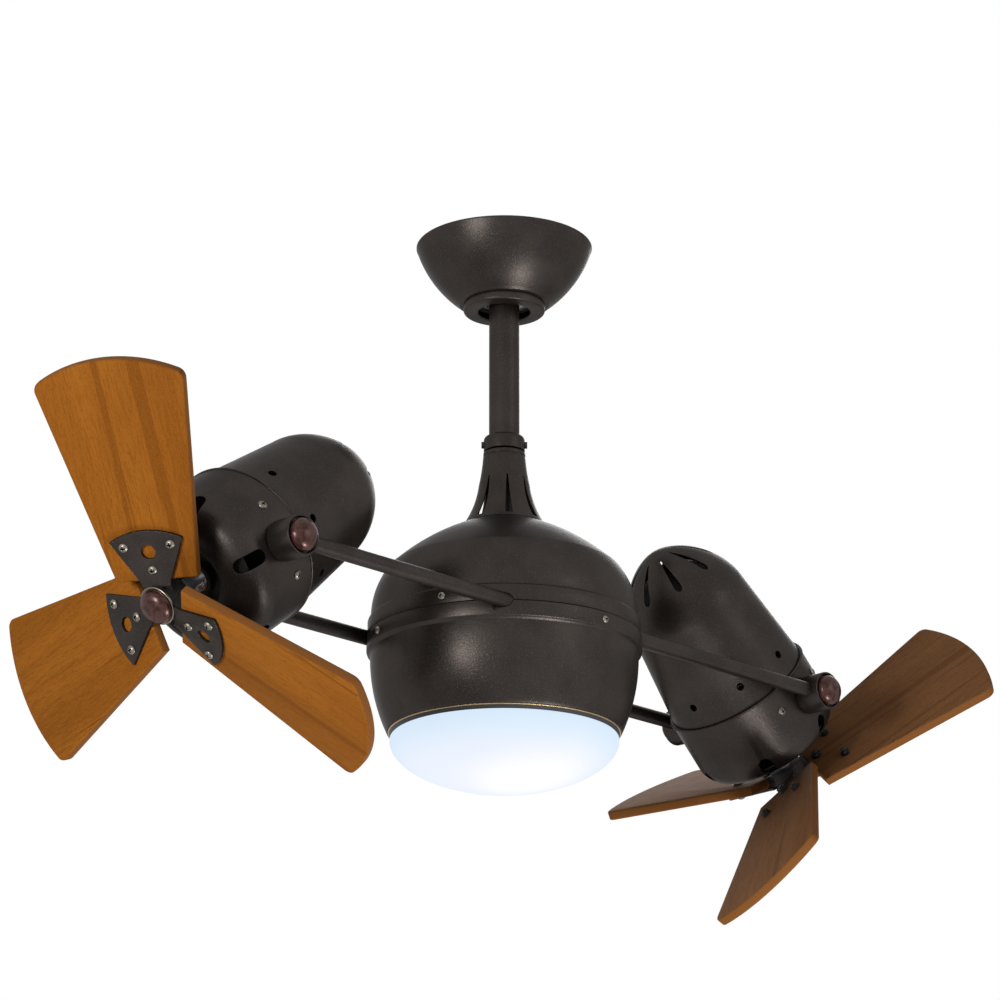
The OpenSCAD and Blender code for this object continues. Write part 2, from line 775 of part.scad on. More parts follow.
module lip_ring() {
    leg_out = bowl_rim_r - shell_wall - slip;
    color("darkgoldenrod") rotate_extrude() polygon([
        [leg_out - 1.3, z_glass_seat - 2.2], [leg_out, z_glass_seat - 2.2],
        [leg_out, z_rim], [bowl_rim_r - 0.1, z_rim], [bowl_rim_r - 0.1, z_rim - 1],
        [bowl_rim_r - 0.5, z_rim - 1.4], [leg_out - 1.3, z_rim - 1.4]]);
}

module glass_bowl() {
    glass_r = bowl_rim_r - shell_wall - slip - 1.3 - 4 * free;
    flange_r = bowl_rim_r - shell_wall - slip;
    outer = [for (p = pole_curve(glass_r, glass_h, 2, 14)) [p[0], z_rim - 1 - p[1]]];
    inner = [for (p = pole_curve(glass_r - glass_wall, glass_h - glass_wall, 2, 14))
        [p[0], z_rim - 1 - p[1]]];
    color("azure") rotate_extrude() polygon(concat(
        [[glass_r - glass_wall, z_glass_seat], [flange_r, z_glass_seat],
         [flange_r, z_glass_seat - 2], [glass_r, z_glass_seat - 2]],
        outer, reverse(inner)));
}

module pivots() {
    for (sx = [-1, 1], sy = [-1, 1])
        translate([sx * span / 2, 0, z_arm])
            mirror([sx < 0 ? 1 : 0, 0, 0]) mirror([0, sy < 0 ? 1 : 0, 0]) children();
}

module pivot_barrels() {
    round_r = 1;
    color("dimgray") pivots() difference() {
        translate([0, barrel_in, 0]) rotate([-90, 0, 0]) rotate_extrude()
            polygon([[0, 0], [barrel_r - round_r, 0], [barrel_r, round_r],
                [barrel_r, barrel_l - round_r], [barrel_r - round_r, barrel_l], [0, barrel_l]]);
        rod_y(trunnion_r + fit, barrel_in - eps, barrel_out + eps);
        rod_y(cap_spigot_r + fit, barrel_out - cap_socket, barrel_out + eps);
        translate([0, arm_pitch / 2, 0]) rod_x(arm_r + fit, -barrel_r - eps, -barrel_r + arm_sink + 1.2);
    }
}

module pivot_caps() {
    color("rosybrown") pivots()
        translate([0, barrel_out, 0]) rotate([-90, 0, 0])
            dome_cap(dome_cap_r, dome_cap_h, cap_spigot_r, cap_socket - 0.5);
}

module arm_leads() {
    lead_r = 1.4;
    color("black") for (sx = [-1, 1], sy = [-1, 1])
        translate([0, sy * arm_pitch / 2, z_arm - arm_r + arm_wall + lead_r + slip])
            rod_x(lead_r, sx < 0 ? -arm_half + 6 : clamp_l / 2, sx < 0 ? -clamp_l / 2 : arm_half - 6);
}

// ---- a fan head: its local Z runs from the pivot towards the rotor, its pivot along Y ----

module at_head(side) {
    tilt = side < 0 ? left_tilt : right_tilt;
    translate([side * span / 2, 0, z_arm]) rotate([0, 0, side < 0 ? 0 : 180])
        rotate([0, -90 - tilt, 0]) children();
}

module shell_screw_places() {
    for (a = [-1, 1], b = [-1, 1])
        rotate([0, 0, 90 * a + 27.5 * b]) translate([0, 0, -6.5]) rotate([0, 90, 0])
            children();
}

module front_shell(side) {
    flat_r = head_r - shoulder_round;
    z_flat = face_front - shoulder_round;
    outer = concat([[head_r, -seam_back]],
        arc([head_r, z_flat], [flat_r, face_front], -shoulder_round * 0.293, 8),
        [[face_hole_r, face_front]]);
    inner = concat([[head_r - head_wall, -seam_back]],
        arc([head_r - head_wall, z_flat], [flat_r, face_front - head_wall],
            -(shoulder_round - head_wall) * 0.293, 8),
        [[face_hole_r, face_front - head_wall]]);
    color("dimgray") at_head(side) difference() {
        union() {
            turned(outer, inner);
            rotate_extrude() translate([head_r, -seam_back + bead_r]) circle(r = bead_r, $fn = 24);
        }
        rod_y(trunnion_r + 4.4, -head_r - 5, head_r + 5);
        shell_screw_places() cylinder(r = 2.1, h = head_r + 5);
        for (i = [0:oval_n - 1])
            rotate([0, 0, 90 + 360 * i / oval_n]) oval_vent();
    }
}

// an oval vent that runs along the head, from its side onto its shoulder
module oval_vent() {
    lean = 38;
    translate([head_r - shoulder_round, 0, face_front - shoulder_round])
        rotate([0, 90 - lean, 0]) translate([0, 0, shoulder_round - 9])
            stadium(oval_l, oval_w, 20);
}

function rear_curve(inset) = concat(
    [[head_r - head_wall - slip - 0.3 - inset, -seam_back]],
    [for (p = pole_curve(dome_r - inset, dome_end - dome_start - inset, dome_power, 12))
        [p[0], -dome_start - p[1]]]);

module rear_shell(side) {
    outer = concat([[skirt_r, z_skirt], [skirt_r, -seam_back]], rear_curve(0));
    inner = concat([[skirt_r - rear_wall, z_skirt], [skirt_r - rear_wall, -seam_back]],
        rear_curve(rear_wall));
    color("dimgray") at_head(side) difference() {
        turned(outer, inner);
        rod_y(trunnion_r + 5, -head_r - 5, head_r + 5);
        shell_screw_places() cylinder(r = 2.1, h = head_r + 5);
        for (i = [0:rear_hole_n - 1])
            rotate([0, 0, 90 + 360 * i / rear_hole_n]) {
                translate([0, 0, -seam_back - 20]) rod_x(round_hole_d / 2, dome_r - 20, head_r);
                teardrop_vent();
            }
    }
}

// a radial vent in the rear dome, narrow towards the tip of the dome
module teardrop_vent() {
    inner_r = dome_r * 0.27;
    outer_r = dome_r * 0.73;
    translate([0, 0, -dome_end - eps]) linear_extrude(height = dome_end - dome_start) union() {
        translate([outer_r, 0]) circle(d = drop_w);
        polygon([[inner_r, -0.6], [outer_r, -drop_w / 2], [outer_r, drop_w / 2], [inner_r, 0.6]]);
    }
}

module motor_frame(side) {
    ring_in = bell_r + 6;
    color("gray") at_head(side) difference() {
        union() {
            ring(frame_r, ring_in, z_skirt + 1, z_frame_plate + frame_plate_t);
            ring(skirt_r - rear_wall - slip, ring_in, frame_back, z_skirt + 1);
            ring(ring_in + 1, boss_r - 1, z_frame_plate, z_frame_plate + frame_plate_t);
            ring(boss_r, shaft_r + 3, z_boss_back, z_boss_front);
            ring(shield_r, boss_r - 1, z_boss_front - 9, z_boss_front - 7);
            for (s = [0, 180])
                rotate([0, 0, s]) {
                    rod_y(trunnion_r, ring_in + 2, barrel_out - cap_socket - free);
                    rod_y(trunnion_r + 4, ring_in + 2, barrel_in - 0.15);
                }
        }
        ring(head_bearing_r + fit, shaft_r, z_boss_front - head_bearing_h, z_boss_front + eps);
        ring(head_bearing_r + fit, shaft_r, z_boss_back - eps, z_boss_back + head_bearing_h);
        shell_screw_places() cylinder(r = 2.1, h = head_r);
        for (i = [0:5])
            rotate([0, 0, 60 * i]) translate([(ring_in + boss_r) / 2, 0, z_frame_plate - eps])
                stadium(22, 14, frame_plate_t + 2 * eps);
    }
}

// one tooth of the stator with its curved shoe, and the root up to the next tooth
function tooth(root, shoe) = concat(
    [[sqrt(root * root - 9), -3], [stator_r - 4, -3], [stator_r - 5, -8.4]],
    [for (i = [0:6])
        let (a = shoe * (i / 3 - 1))
        [stator_r * cos(a), stator_r * sin(a)]],
    [[stator_r - 5, 8.4], [stator_r - 4, 3], [sqrt(root * root - 9), 3]],
    [[root * cos(180 / tooth_n), root * sin(180 / tooth_n)]]);

module stator(side) {
    z0 = bell_front - 3 - stator_l;
    color("darkgray") at_head(side) difference() {
        translate([0, 0, z0]) linear_extrude(height = stator_l)
            polygon([for (i = [0:tooth_n - 1])
                let (a = 360 * i / tooth_n)
                for (p = tooth(boss_r + 8, 11.5))
                [p[0] * cos(a) - p[1] * sin(a), p[0] * sin(a) + p[1] * cos(a)]]);
        translate([0, 0, z0 - eps]) cylinder(r = boss_r + slip, h = stator_l + 2 * eps);
    }
    color("chocolate") at_head(side)
        for (i = [0:tooth_n - 1])
            rotate([0, 0, 360 * i / tooth_n]) difference() {
                translate([boss_r + 10.2, -5.2, z0 - 2.2])
                    cube([stator_r - boss_r - 15.2, 10.4, stator_l + 4.4]);
                translate([boss_r, -3.1, z0 - 0.1]) cube([stator_r, 6.2, stator_l + 0.2]);
            }
}

module shell_screws(side) {
    color("silver") at_head(side) shell_screw_places()
        translate([0, 0, head_r + 0.1]) dome_screw(7.5, 2.2, 4, 9);
}

module motor_bearings(side) {
    color("silver") at_head(side)
        for (z = [z_boss_front - head_bearing_h, z_boss_back])
            difference() {
                ring(head_bearing_r, shaft_r + fit, z, z + head_bearing_h);
                ring(head_bearing_r - 1.5, shaft_r + 1.5, z - eps, z + 0.8);
                ring(head_bearing_r - 1.5, shaft_r + 1.5, z + head_bearing_h - 0.8,
                    z + head_bearing_h + eps);
            }
}

// ---- a rotor: the motor's bell and shaft, the hub and the blades ----

module at_rotor(side) {
    at_head(side) rotate([0, 0, side < 0 ? left_rotor_turn : right_rotor_turn]) children();
}

// the frame of blade k: X along the blade, Y across it, Z off its front face
module at_blade(k) {
    rotate([0, 0, 360 / rotor_n * k]) translate([0, 0, rotor_front])
        rotate([blade_pitch, 0, 0]) children();
}

module motor_rotor(side) {
    color("silver") at_rotor(side) {
        difference() {
            union() {
                translate([0, 0, z_bell_back]) cylinder(r = shaft_r, h = hub_front - 4 - z_bell_back);
                ring(bell_r, bell_r - 3, z_bell_back, bell_front);
                ring(bell_r - 1, shaft_r - 1, z_bell_back, z_bell_back + 3);
                ring(shaft_r + 2, shaft_r - 1, z_bell_back + 2, z_boss_back - 0.2);
            }
            translate([shaft_r - 1, -shaft_r, hub_back - 8])
                cube([4, 2 * shaft_r, 9]);
        }
    }
    color("black") at_rotor(side)
        ring(bell_r - 3 - slip, bell_r - 5, z_bell_back + 4, bell_front - 1);
}

module blade_hub(side) {
    color("dimgray") at_rotor(side) difference() {
        union() {
            translate([0, 0, hub_back]) cylinder(r = blade_hub_r, h = hub_front - hub_back);
            for (k = [0:rotor_n - 1])
                at_blade(k) translate([shaft_r + 2, -iron_neck_half_w + 2, -6])
                    cube([blade_root_r - free - shaft_r - 2, 2 * iron_neck_half_w - 4,
                        6 + blade_t / 2 - 0.02]);
        }
        translate([0, 0, hub_back - 10]) cylinder(r = shaft_r + 0.02, h = 60);
        for (k = [0:rotor_n - 1])
            at_blade(k) translate([tongue_in - slip, -tongue_half_w - slip, blade_t / 2 - 0.02])
                cube([20, 2 * (tongue_half_w + slip), iron_t + 0.1]);
        for (k = [0:rotor_n - 1])
            at_blade(k) translate([blade_hub_r + 0.1, -20, blade_t / 2]) cube([20, 40, 20]);
    }
}

module iron_outline() {
    difference() {
        polygon(concat(
            [[tongue_in, -tongue_half_w], [blade_hub_r + 0.3, -tongue_half_w],
             [blade_hub_r + 0.3, -iron_neck_half_w + 1], [blade_hub_r + 5, -iron_neck_half_w]],
            arc([iron_corner_r, -iron_half_w], [iron_corner_r, iron_half_w],
                -(iron_top_r - iron_corner_r), 12),
            [[blade_hub_r + 5, iron_neck_half_w], [blade_hub_r + 0.3, iron_neck_half_w - 1],
             [blade_hub_r + 0.3, tongue_half_w], [tongue_in, tongue_half_w]]));
        translate([iron_top_r - 18.4, 0]) circle(d = iron_hole_d);
        iron_screw_places() circle(d = 4.2);
    }
}

module iron_screw_places() {
    for (p = [[iron_corner_r - 5.1, -20], [iron_corner_r - 5.1, 20], [iron_corner_r - 25.8, 0]])
        translate(p) children();
}

module blade_irons(side) {
    color("dimgray") at_rotor(side) for (k = [0:rotor_n - 1])
        at_blade(k) translate([0, 0, blade_t / 2]) linear_extrude(height = iron_t) iron_outline();
}

// the blade's outline: straight sides, an arched tip with rounded corners
function blade_outline() =
    let (root = [blade_root_r, -blade_root_w / 2],
         tip = arc([tip_corner_r, -blade_tip_w / 2], [tip_corner_r, blade_tip_w / 2],
             -(rotor_r - tip_corner_r), 16),
         low = corner(root, tip[0], tip[1], tip_round),
         middle = [for (i = [2:14]) tip[i]])
    concat([root], low, middle,
        reverse([for (p = low) [p[0], -p[1]]]), [[root[0], -root[1]]]);

module blade(side, k) {
    color("peru") at_rotor(side) at_blade(k) difference() {
        translate([0, 0, -blade_t / 2]) linear_extrude(height = blade_t - 0.02)
            polygon(blade_outline());
        translate([0, 0, -blade_t]) linear_extrude(height = 2 * blade_t)
            iron_screw_places() circle(d = 4.2);
    }
}

module blade_screws(side) {
    nut_h = 4;
    color("silver") at_rotor(side) for (k = [0:rotor_n - 1])
        at_blade(k) iron_screw_places() {
            translate([0, 0, blade_t / 2 + iron_t])
                dome_screw(8, 2.6, 4, iron_t + blade_t + 0.05);
            translate([0, 0, -blade_t / 2 - nut_h - 0.05]) cylinder(r = 4.2, h = nut_h);
        }
}

module hub_cap(side) {
    color("rosybrown") at_rotor(side) translate([0, 0, hub_front])
        dome_cap(hub_cap_d / 2, dome_cap_h, shaft_r - slip, 3.5);
}

ceiling_bracket();
canopy();
canopy_trim_ring();
canopy_screws();
hanger_ball();
cross_pins();
set_screws();
downrod();
supply_lead();
coupling_collar();
spindle();
spindle_nut();
slip_ring_core();
neck_cover();
top_cap();
upper_shell();
lower_shell();
hub_block();
carriage_bearings();
brush_block();
front_arm();
rear_arm();
clamp_screws();
belt_screws();
light_pan();
driver_box();
diode_board();
lip_ring();
glass_bowl();
pivot_barrels();
pivot_caps();
arm_leads();
front_shell(-1);  // left_front_shell
rear_shell(-1);  // left_rear_shell
motor_frame(-1);  // left_motor_frame
stator(-1);  // left_stator
shell_screws(-1);  // left_shell_screws
motor_bearings(-1);  // left_motor_bearings
front_shell(1);  // right_front_shell
rear_shell(1);  // right_rear_shell
motor_frame(1);  // right_motor_frame
stator(1);  // right_stator
shell_screws(1);  // right_shell_screws
motor_bearings(1);  // right_motor_bearings
motor_rotor(-1);  // left_motor_rotor
blade_hub(-1);  // left_blade_hub
blade_irons(-1);  // left_blade_irons
blade(-1, 0);  // left_blade_1
blade(-1, 1);  // left_blade_2
blade(-1, 2);  // left_blade_3
blade_screws(-1);  // left_blade_screws
hub_cap(-1);  // left_hub_cap
motor_rotor(1);  // right_motor_rotor
blade_hub(1);  // right_blade_hub
blade_irons(1);  // right_blade_irons
blade(1, 0);  // right_blade_1
blade(1, 1);  // right_blade_2
blade(1, 2);  // right_blade_3
blade_screws(1);  // right_blade_screws
hub_cap(1);  // right_hub_cap
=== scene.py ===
"""Dresses the twin head ceiling fan: its turned shells, wooden blades, screws, glass and stage."""

import json
import math

import bmesh
import bpy
from bpy.props import FloatProperty, FloatVectorProperty, IntProperty, PointerProperty
from bpy.types import Operator, Panel, PropertyGroup
from mathutils import Matrix, Vector


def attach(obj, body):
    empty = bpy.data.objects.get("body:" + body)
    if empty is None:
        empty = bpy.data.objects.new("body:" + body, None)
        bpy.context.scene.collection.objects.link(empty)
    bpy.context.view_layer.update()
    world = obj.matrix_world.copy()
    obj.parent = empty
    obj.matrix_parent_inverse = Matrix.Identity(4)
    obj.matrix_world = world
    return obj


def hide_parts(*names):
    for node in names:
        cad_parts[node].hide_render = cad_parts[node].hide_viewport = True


bl_info = {
    "name": "Twin Head Ceiling Fan",
    "version": (1, 0, 0),
    "blender": (4, 5, 0),
    "location": "View3D > Sidebar > Fan",
    "description": "Builds the shells, blades, glass and finishes of a twin head ceiling fan",
    "category": "Add Mesh",
}

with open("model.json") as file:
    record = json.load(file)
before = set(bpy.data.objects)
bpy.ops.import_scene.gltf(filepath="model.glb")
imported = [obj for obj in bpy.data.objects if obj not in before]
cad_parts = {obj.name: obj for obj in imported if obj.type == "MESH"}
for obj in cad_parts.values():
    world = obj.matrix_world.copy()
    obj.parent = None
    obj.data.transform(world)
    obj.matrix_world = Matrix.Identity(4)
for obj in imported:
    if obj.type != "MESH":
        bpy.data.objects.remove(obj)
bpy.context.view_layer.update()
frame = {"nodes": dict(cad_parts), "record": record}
NODES = frame["nodes"]

# ---- where things are, in millimetres, as the construction has them ----

Z_CANOPY = -54.0
Z_TRIM = -61.5
Z_BALL = -32.0
Z_COLLAR_TOP = -176.5
Z_COLLAR = -191.5
Z_NECK_TOP = -192.7
Z_NECK = -259.7
Z_SEAM = -300.7
Z_BELT_TOP = -345.7
Z_ARM = -361.2
Z_BELT = -374.7
Z_RIM = -446.7
NECK_H = Z_NECK_TOP - Z_NECK
WALL = 1.5
SPAN = 642.0
ARM_Y = 81.0
ARM_R = 6.5
BARREL_IN = 68.6
BARREL_OUT = 92.6
HEAD_R = 68.0
HEAD_SPLIT = -27.0
REAR_NOSE = -114.0
TRUNNION_HOLE_R = 10.4
HEAD_TILT = {"left": 38.0, "right": 43.5}
ROTOR_TURN = {"left": -17.5, "right": 38.0}
ROTOR_FRONT = 78.0
BLADE_PITCH = 18.5
BLADE_T = 9.0
BLADE_ROOT = (20, 35)
BLADE_TIP = (190, 64)
IRON_SCREWS = ((50.9, -20.0), (50.9, 20.0), (30.2, 0.0))
SCREW_HOLE_R = 2.1
IRON_T = 3.0
HUB_FRONT = 88.0
SIDES = ("left", "right")
UPPER_SCREWS = (90, 198, 342)
LOWER_SCREWS = (20, 90, 160, 270)

# ---- the photograph's camera, in metres, with its lens in millimetres ----

CAMERA_AT = (-2.2974, -2.2524, -1.2993)
CAMERA_WAY = (0.67718, 0.66546, 0.31399)
CAMERA_LENS = 140.4
CAMERA_AZIMUTH = 45.5


def linear(red, green, blue):
    """A colour given as on a screen, 0 to 255, as the light values that shaders use."""
    return tuple((c / 255) ** 2.2 for c in (red, green, blue))


class FanSizes(PropertyGroup):
    """How finely and how softly the pieces are made."""

    turn_steps: IntProperty(
        name="Steps of a turned shell",
        description="Faces round each turned shell",
        default=160, min=32, max=256,
    )
    edge_round: FloatProperty(
        name="Edge rounding",
        description="Rounding of the pressed edges round vents and plates",
        default=0.0004, min=0.0001, max=0.001, unit="LENGTH", precision=5,
    )
    blade_round: FloatProperty(
        name="Blade edge rounding",
        description="Rounding of the blades' long edges",
        default=0.0018, min=0.0005, max=0.003, unit="LENGTH", precision=5,
    )
    floor_depth: FloatProperty(
        name="Floor below the ceiling",
        description="Height of the room",
        default=2.4, min=1.6, max=3.2, unit="LENGTH",
    )


class FanColours(PropertyGroup):
    """The colours of the fan's finishes."""

    bronze: FloatVectorProperty(
        name="Textured bronze", description="Powder coat of the shells and arms",
        default=linear(62, 57, 54), subtype="COLOR", size=3, min=0, max=1,
    )
    red_bronze: FloatVectorProperty(
        name="Cap bronze", description="Lighter colour of the mottled, glossy caps",
        default=linear(80, 53, 48), subtype="COLOR", size=3, min=0, max=1,
    )
    wood: FloatVectorProperty(
        name="Blade wood", description="Stained face of the blades",
        default=linear(146, 88, 30), subtype="COLOR", size=3, min=0, max=1,
    )
    wood_back: FloatVectorProperty(
        name="Blade back", description="Back of the blades",
        default=linear(134, 93, 61), subtype="COLOR", size=3, min=0, max=1,
    )
    glass: FloatVectorProperty(
        name="Lit glass", description="Light of the opal glass at its rim",
        default=linear(217, 235, 252), subtype="COLOR", size=3, min=0, max=1,
    )
    brass: FloatVectorProperty(
        name="Lip brass", description="Ring that holds the glass",
        default=linear(168, 142, 106), subtype="COLOR", size=3, min=0, max=1,
    )
    nickel: FloatVectorProperty(
        name="Screw nickel", description="Heads of the screws",
        default=linear(124, 118, 108), subtype="COLOR", size=3, min=0, max=1,
    )


# ---- shader expressions ----


class Signal:
    """A shader socket that takes part in sums; each operator adds the node that works it out."""

    def __init__(self, finish, socket):
        self.finish = finish
        self.socket = socket

    def _math(self, operation, a, b=None):
        return self.finish.node(
            "ShaderNodeMath", {"operation": operation}, {0: a} if b is None else {0: a, 1: b})

    def __add__(self, other):
        return self._math("ADD", self, other)

    __radd__ = __add__

    def __mul__(self, other):
        return self._math("MULTIPLY", self, other)

    __rmul__ = __mul__

    def __sub__(self, other):
        return self._math("SUBTRACT", self, other)

    def __rsub__(self, other):
        return self._math("SUBTRACT", other, self)

    def __pow__(self, power):
        return self._math("POWER", self, power)

    def ease(self, low, high):
        """0 below low, 1 above high and smooth between them."""
        return self.finish.node(
            "ShaderNodeMapRange", {"interpolation_type": "SMOOTHSTEP"},
            {0: self, 1: low, 2: high, 3: 0.0, 4: 1.0})


class Finish:
    """A material with one Principled shader."""

    def __init__(self, name, **settings):
        self.material = bpy.data.materials.new(name)
        self.material.use_nodes = True
        self.tree = self.material.node_tree
        self.shader = self.tree.nodes["Principled BSDF"]
        for key, value in settings.items():
            self.set(key.replace("_", " ").title().replace("Ior", "IOR"), value)

    def set(self, name, value):
        self._give(self.shader.inputs[name], value)

    def _give(self, socket, value):
        if isinstance(value, Signal):
            self.tree.links.new(value.socket, socket)
        elif socket.type == "RGBA" and len(value) == 3:
            socket.default_value = (*value, 1.0)
        else:
            socket.default_value = value

    def node(self, kind, settings=None, inputs=None, out=0):
        made = self.tree.nodes.new(kind)
        for key, value in (settings or {}).items():
            setattr(made, key, value)
        for key, value in (inputs or {}).items():
            self._give(made.inputs[key], value)
        return Signal(self, made.outputs[out])

    def place(self):
        """Object coordinates."""
        return self.node("ShaderNodeTexCoord", out="Object")

    def noise(self, where, scale, detail=3.0, rough=0.55, warp=0.0):
        return self.node("ShaderNodeTexNoise", {"noise_dimensions": "3D"}, {
            "Vector": where, "Scale": scale, "Detail": detail, "Roughness": rough,
            "Distortion": warp})

    def mix(self, share, a, b, blend="MIX"):
        return self.node("ShaderNodeMix", {"data_type": "RGBA", "blend_type": blend},
                         {0: share, 6: a, 7: b}, out=2)

    def bump(self, height, strength, distance):
        self.set("Normal", self.node("ShaderNodeBump", {}, {
            "Height": height, "Strength": strength, "Distance": distance}))


def textured_bronze(colours):
    """Fine textured powder coat: a soft satin gloss over small flecks and a pebbled surface."""
    finish = Finish("textured_bronze", specular_ior_level=0.36,
                    specular_tint=(0.42, 0.42, 0.42))
    where = finish.place()
    base = tuple(colours.bronze)
    cloud = finish.noise(where, 26, 2)
    grit = finish.noise(where, 700, 2, 0.6)
    fleck = finish.noise(where, 820, 1).ease(0.56, 0.7)
    darker = tuple(0.74 * c for c in base)
    lighter = tuple(1.5 * c + 0.003 for c in base)
    colour = finish.mix(cloud.ease(0.3, 0.7), darker, base)
    colour = finish.mix(fleck * 0.5, colour, lighter)
    finish.set("Base Color", colour)
    finish.set("Roughness", 0.29 + grit * 0.14)
    finish.set("Metallic", 0.75)
    finish.bump(grit + fleck * 0.3, 0.3, 0.00035)
    return finish.material


def mottled_cap(colours):
    """Glossy caps, reddish brown over a darker brown in soft blotches."""
    finish = Finish("mottled_cap", specular_ior_level=0.4, coat_weight=0.15,
                    coat_roughness=0.15, specular_tint=(0.5, 0.5, 0.5))
    where = finish.place()
    light = tuple(colours.red_bronze)
    blotch = finish.noise(where, 230, 4, 0.6, 0.5)
    speck = finish.noise(where, 1000, 2)
    dark = tuple(0.42 * c for c in light)
    colour = finish.mix(blotch.ease(0.34, 0.6), dark, light)
    colour = finish.mix(speck.ease(0.6, 0.75) * 0.35, colour, tuple(1.4 * c for c in light))
    finish.set("Base Color", colour)
    finish.set("Roughness", 0.24 + blotch * 0.15)
    finish.set("Metallic", 0.55)
    finish.bump(speck, 0.1, 0.0002)
    return finish.material


def blade_wood(colours):
    """Stained wood: soft bands, a few sharp lines along the blade, pores, and a duller back."""
    finish = Finish("blade_wood", specular_ior_level=0.07)
    grain = finish.node("ShaderNodeAttribute", {"attribute_name": "grain"}, out="Vector")
    depth = finish.node("ShaderNodeSeparateXYZ", {}, {"Vector": grain}, out="Z")

    def stretched(along, side):
        return finish.node("ShaderNodeMapping", {}, {
            "Vector": grain, "Scale": (along, side, side)})

    band = finish.noise(stretched(1.6, 17), 1.0, 2, 0.5, 0.7)
    streak = finish.noise(stretched(4.0, 75), 1.0, 3, 0.6, 0.5)
    line = finish.noise(stretched(2.4, 130), 1.0, 1, 0.5, 0.25).ease(0.64, 0.68)
    fibre = finish.noise(stretched(60, 620), 1.0, 3, 0.65)
    pore = finish.noise(stretched(260, 1100), 1.0, 1, 0.5).ease(0.58, 0.68)
    speck = finish.noise(stretched(700, 900), 1.0, 1, 0.5)
    front = tuple(colours.wood)
    back = tuple(colours.wood_back)

    def toned(base):
        dark = (0.58 * base[0], 0.52 * base[1], 0.44 * base[2])
        light = (min(1, 1.22 * base[0]), 1.26 * base[1], 1.35 * base[2])
        colour = finish.mix(band.ease(0.52, 0.34), base, light)
        colour = finish.mix(band.ease(0.58, 0.66) * 0.25, colour, dark)
        colour = finish.mix(streak.ease(0.5, 0.7) * 0.22, colour, dark)
        colour = finish.mix(line * 0.6, colour, dark)
        colour = finish.mix(fibre.ease(0.4, 0.7) * 0.45, colour, dark)
        colour = finish.mix(speck.ease(0.5, 0.66) * 0.32, colour, light)
        return finish.mix(pore * 0.4, colour, tuple(0.45 * c for c in base))

    # The edges take one flat tone, darker than the mean of front and back: painted shade along the
    # edges.
    edge = tuple(0.42 * (a + b) for a, b in zip(front, back))
    colour = finish.mix(depth.ease(-0.0044, -0.0034), toned(back), edge)
    colour = finish.mix(depth.ease(0.0026, 0.004), colour, toned(front))
    finish.set("Base Color", colour)
    finish.set("Roughness", 0.58 + fibre * 0.2)
    finish.bump(fibre * 0.6 - pore, 0.2, 0.0003)
    return finish.material


def opal_glass(colours):
    """Opal bowl lit from inside: cool at its rim, paler below, white over the brightest lamp."""
    rim = tuple(colours.glass)
    finish = Finish("opal_glass", roughness=0.35, specular_ior_level=0.0,
                    emission_strength=0.96)
    where = finish.place()
    x, y, z = (finish.node("ShaderNodeSeparateXYZ", {}, {"Vector": where}, out=axis)
               for axis in "XYZ")
    cloud = finish.noise(where, 14, 2)
    below = 1 - z.ease(0.001 * (Z_RIM - 40), 0.001 * (Z_RIM - 4))
    aside = ((x + 0.002) ** 2 + (y + 0.03) ** 2) ** 0.5
    lamp_spot = 1 - (aside + cloud * 0.01).ease(0.024, 0.074)
    glow = finish.mix(below, rim, linear(238, 243, 254))
    glow = finish.mix(lamp_spot, glow, (1.0, 1.0, 1.0))
    finish.set("Base Color", (0.05, 0.055, 0.06))
    finish.set("Emission Color", glow)
    finish.bump(cloud, 0.02, 0.0005)
    return finish.material


def plated(name, colour, rough):
    """Plated or machined metal with fine scratches and slight stains."""
    finish = Finish(name, metallic=1.0)
    where = finish.place()
    stain = finish.noise(where, 70, 4)
    fine = finish.noise(where, 700, 2)
    darker = tuple(0.8 * c for c in colour)
    finish.set("Base Color", finish.mix(stain.ease(0.35, 0.75), colour, darker))
    finish.set("Roughness", rough + fine * 0.18)
    finish.bump(fine, 0.08, 0.0002)
    return finish.material


def cast_metal(name, colour):
    """Sand or die cast metal with a dull, pebbled skin."""
    finish = Finish(name)
    where = finish.place()
    skin = finish.noise(where, 420, 4, 0.6)
    finish.set("Base Color", finish.mix(skin.ease(0.35, 0.7), colour,
                                        tuple(0.6 * c for c in colour)))
    finish.set("Roughness", 0.5 + skin * 0.2)
    finish.set("Metallic", 0.6)
    finish.bump(skin, 0.3, 0.0004)
    return finish.material


def moulded(name, colour, rough=0.5):
    """Moulded plastic, sleeve or coated sheet with a faint spark texture."""
    finish = Finish(name)
    where = finish.place()
    spark = finish.noise(where, 1100, 2)
    shade = finish.noise(where, 30, 2)
    finish.set("Base Color", finish.mix(shade.ease(0.3, 0.8), colour,
                                        tuple(0.85 * c for c in colour)))
    finish.set("Roughness", rough + spark * 0.15)
    finish.bump(spark, 0.1, 0.0002)
    return finish.material


def varnished_core(colours):
    """The motors' cores: varnished copper windings between stacked steel sheets."""
    finish = Finish("varnished_core")
    where = finish.place()
    sheets = finish.node("ShaderNodeTexWave", {"bands_direction": "Z"}, {
        "Vector": where, "Scale": 420.0, "Distortion": 1.5, "Detail": 1.0}, out="Fac")
    patch = finish.noise(where, 60, 3)
    colour = finish.mix(patch.ease(0.42, 0.58), linear(70, 62, 56), linear(150, 82, 40))
    finish.set("Base Color", finish.mix(sheets * 0.4, colour, linear(30, 22, 16)))
    finish.set("Roughness", 0.35 + patch * 0.2)
    finish.set("Metallic", 0.6)
    finish.bump(sheets, 0.2, 0.0003)
    return finish.material


PAINTS = {}


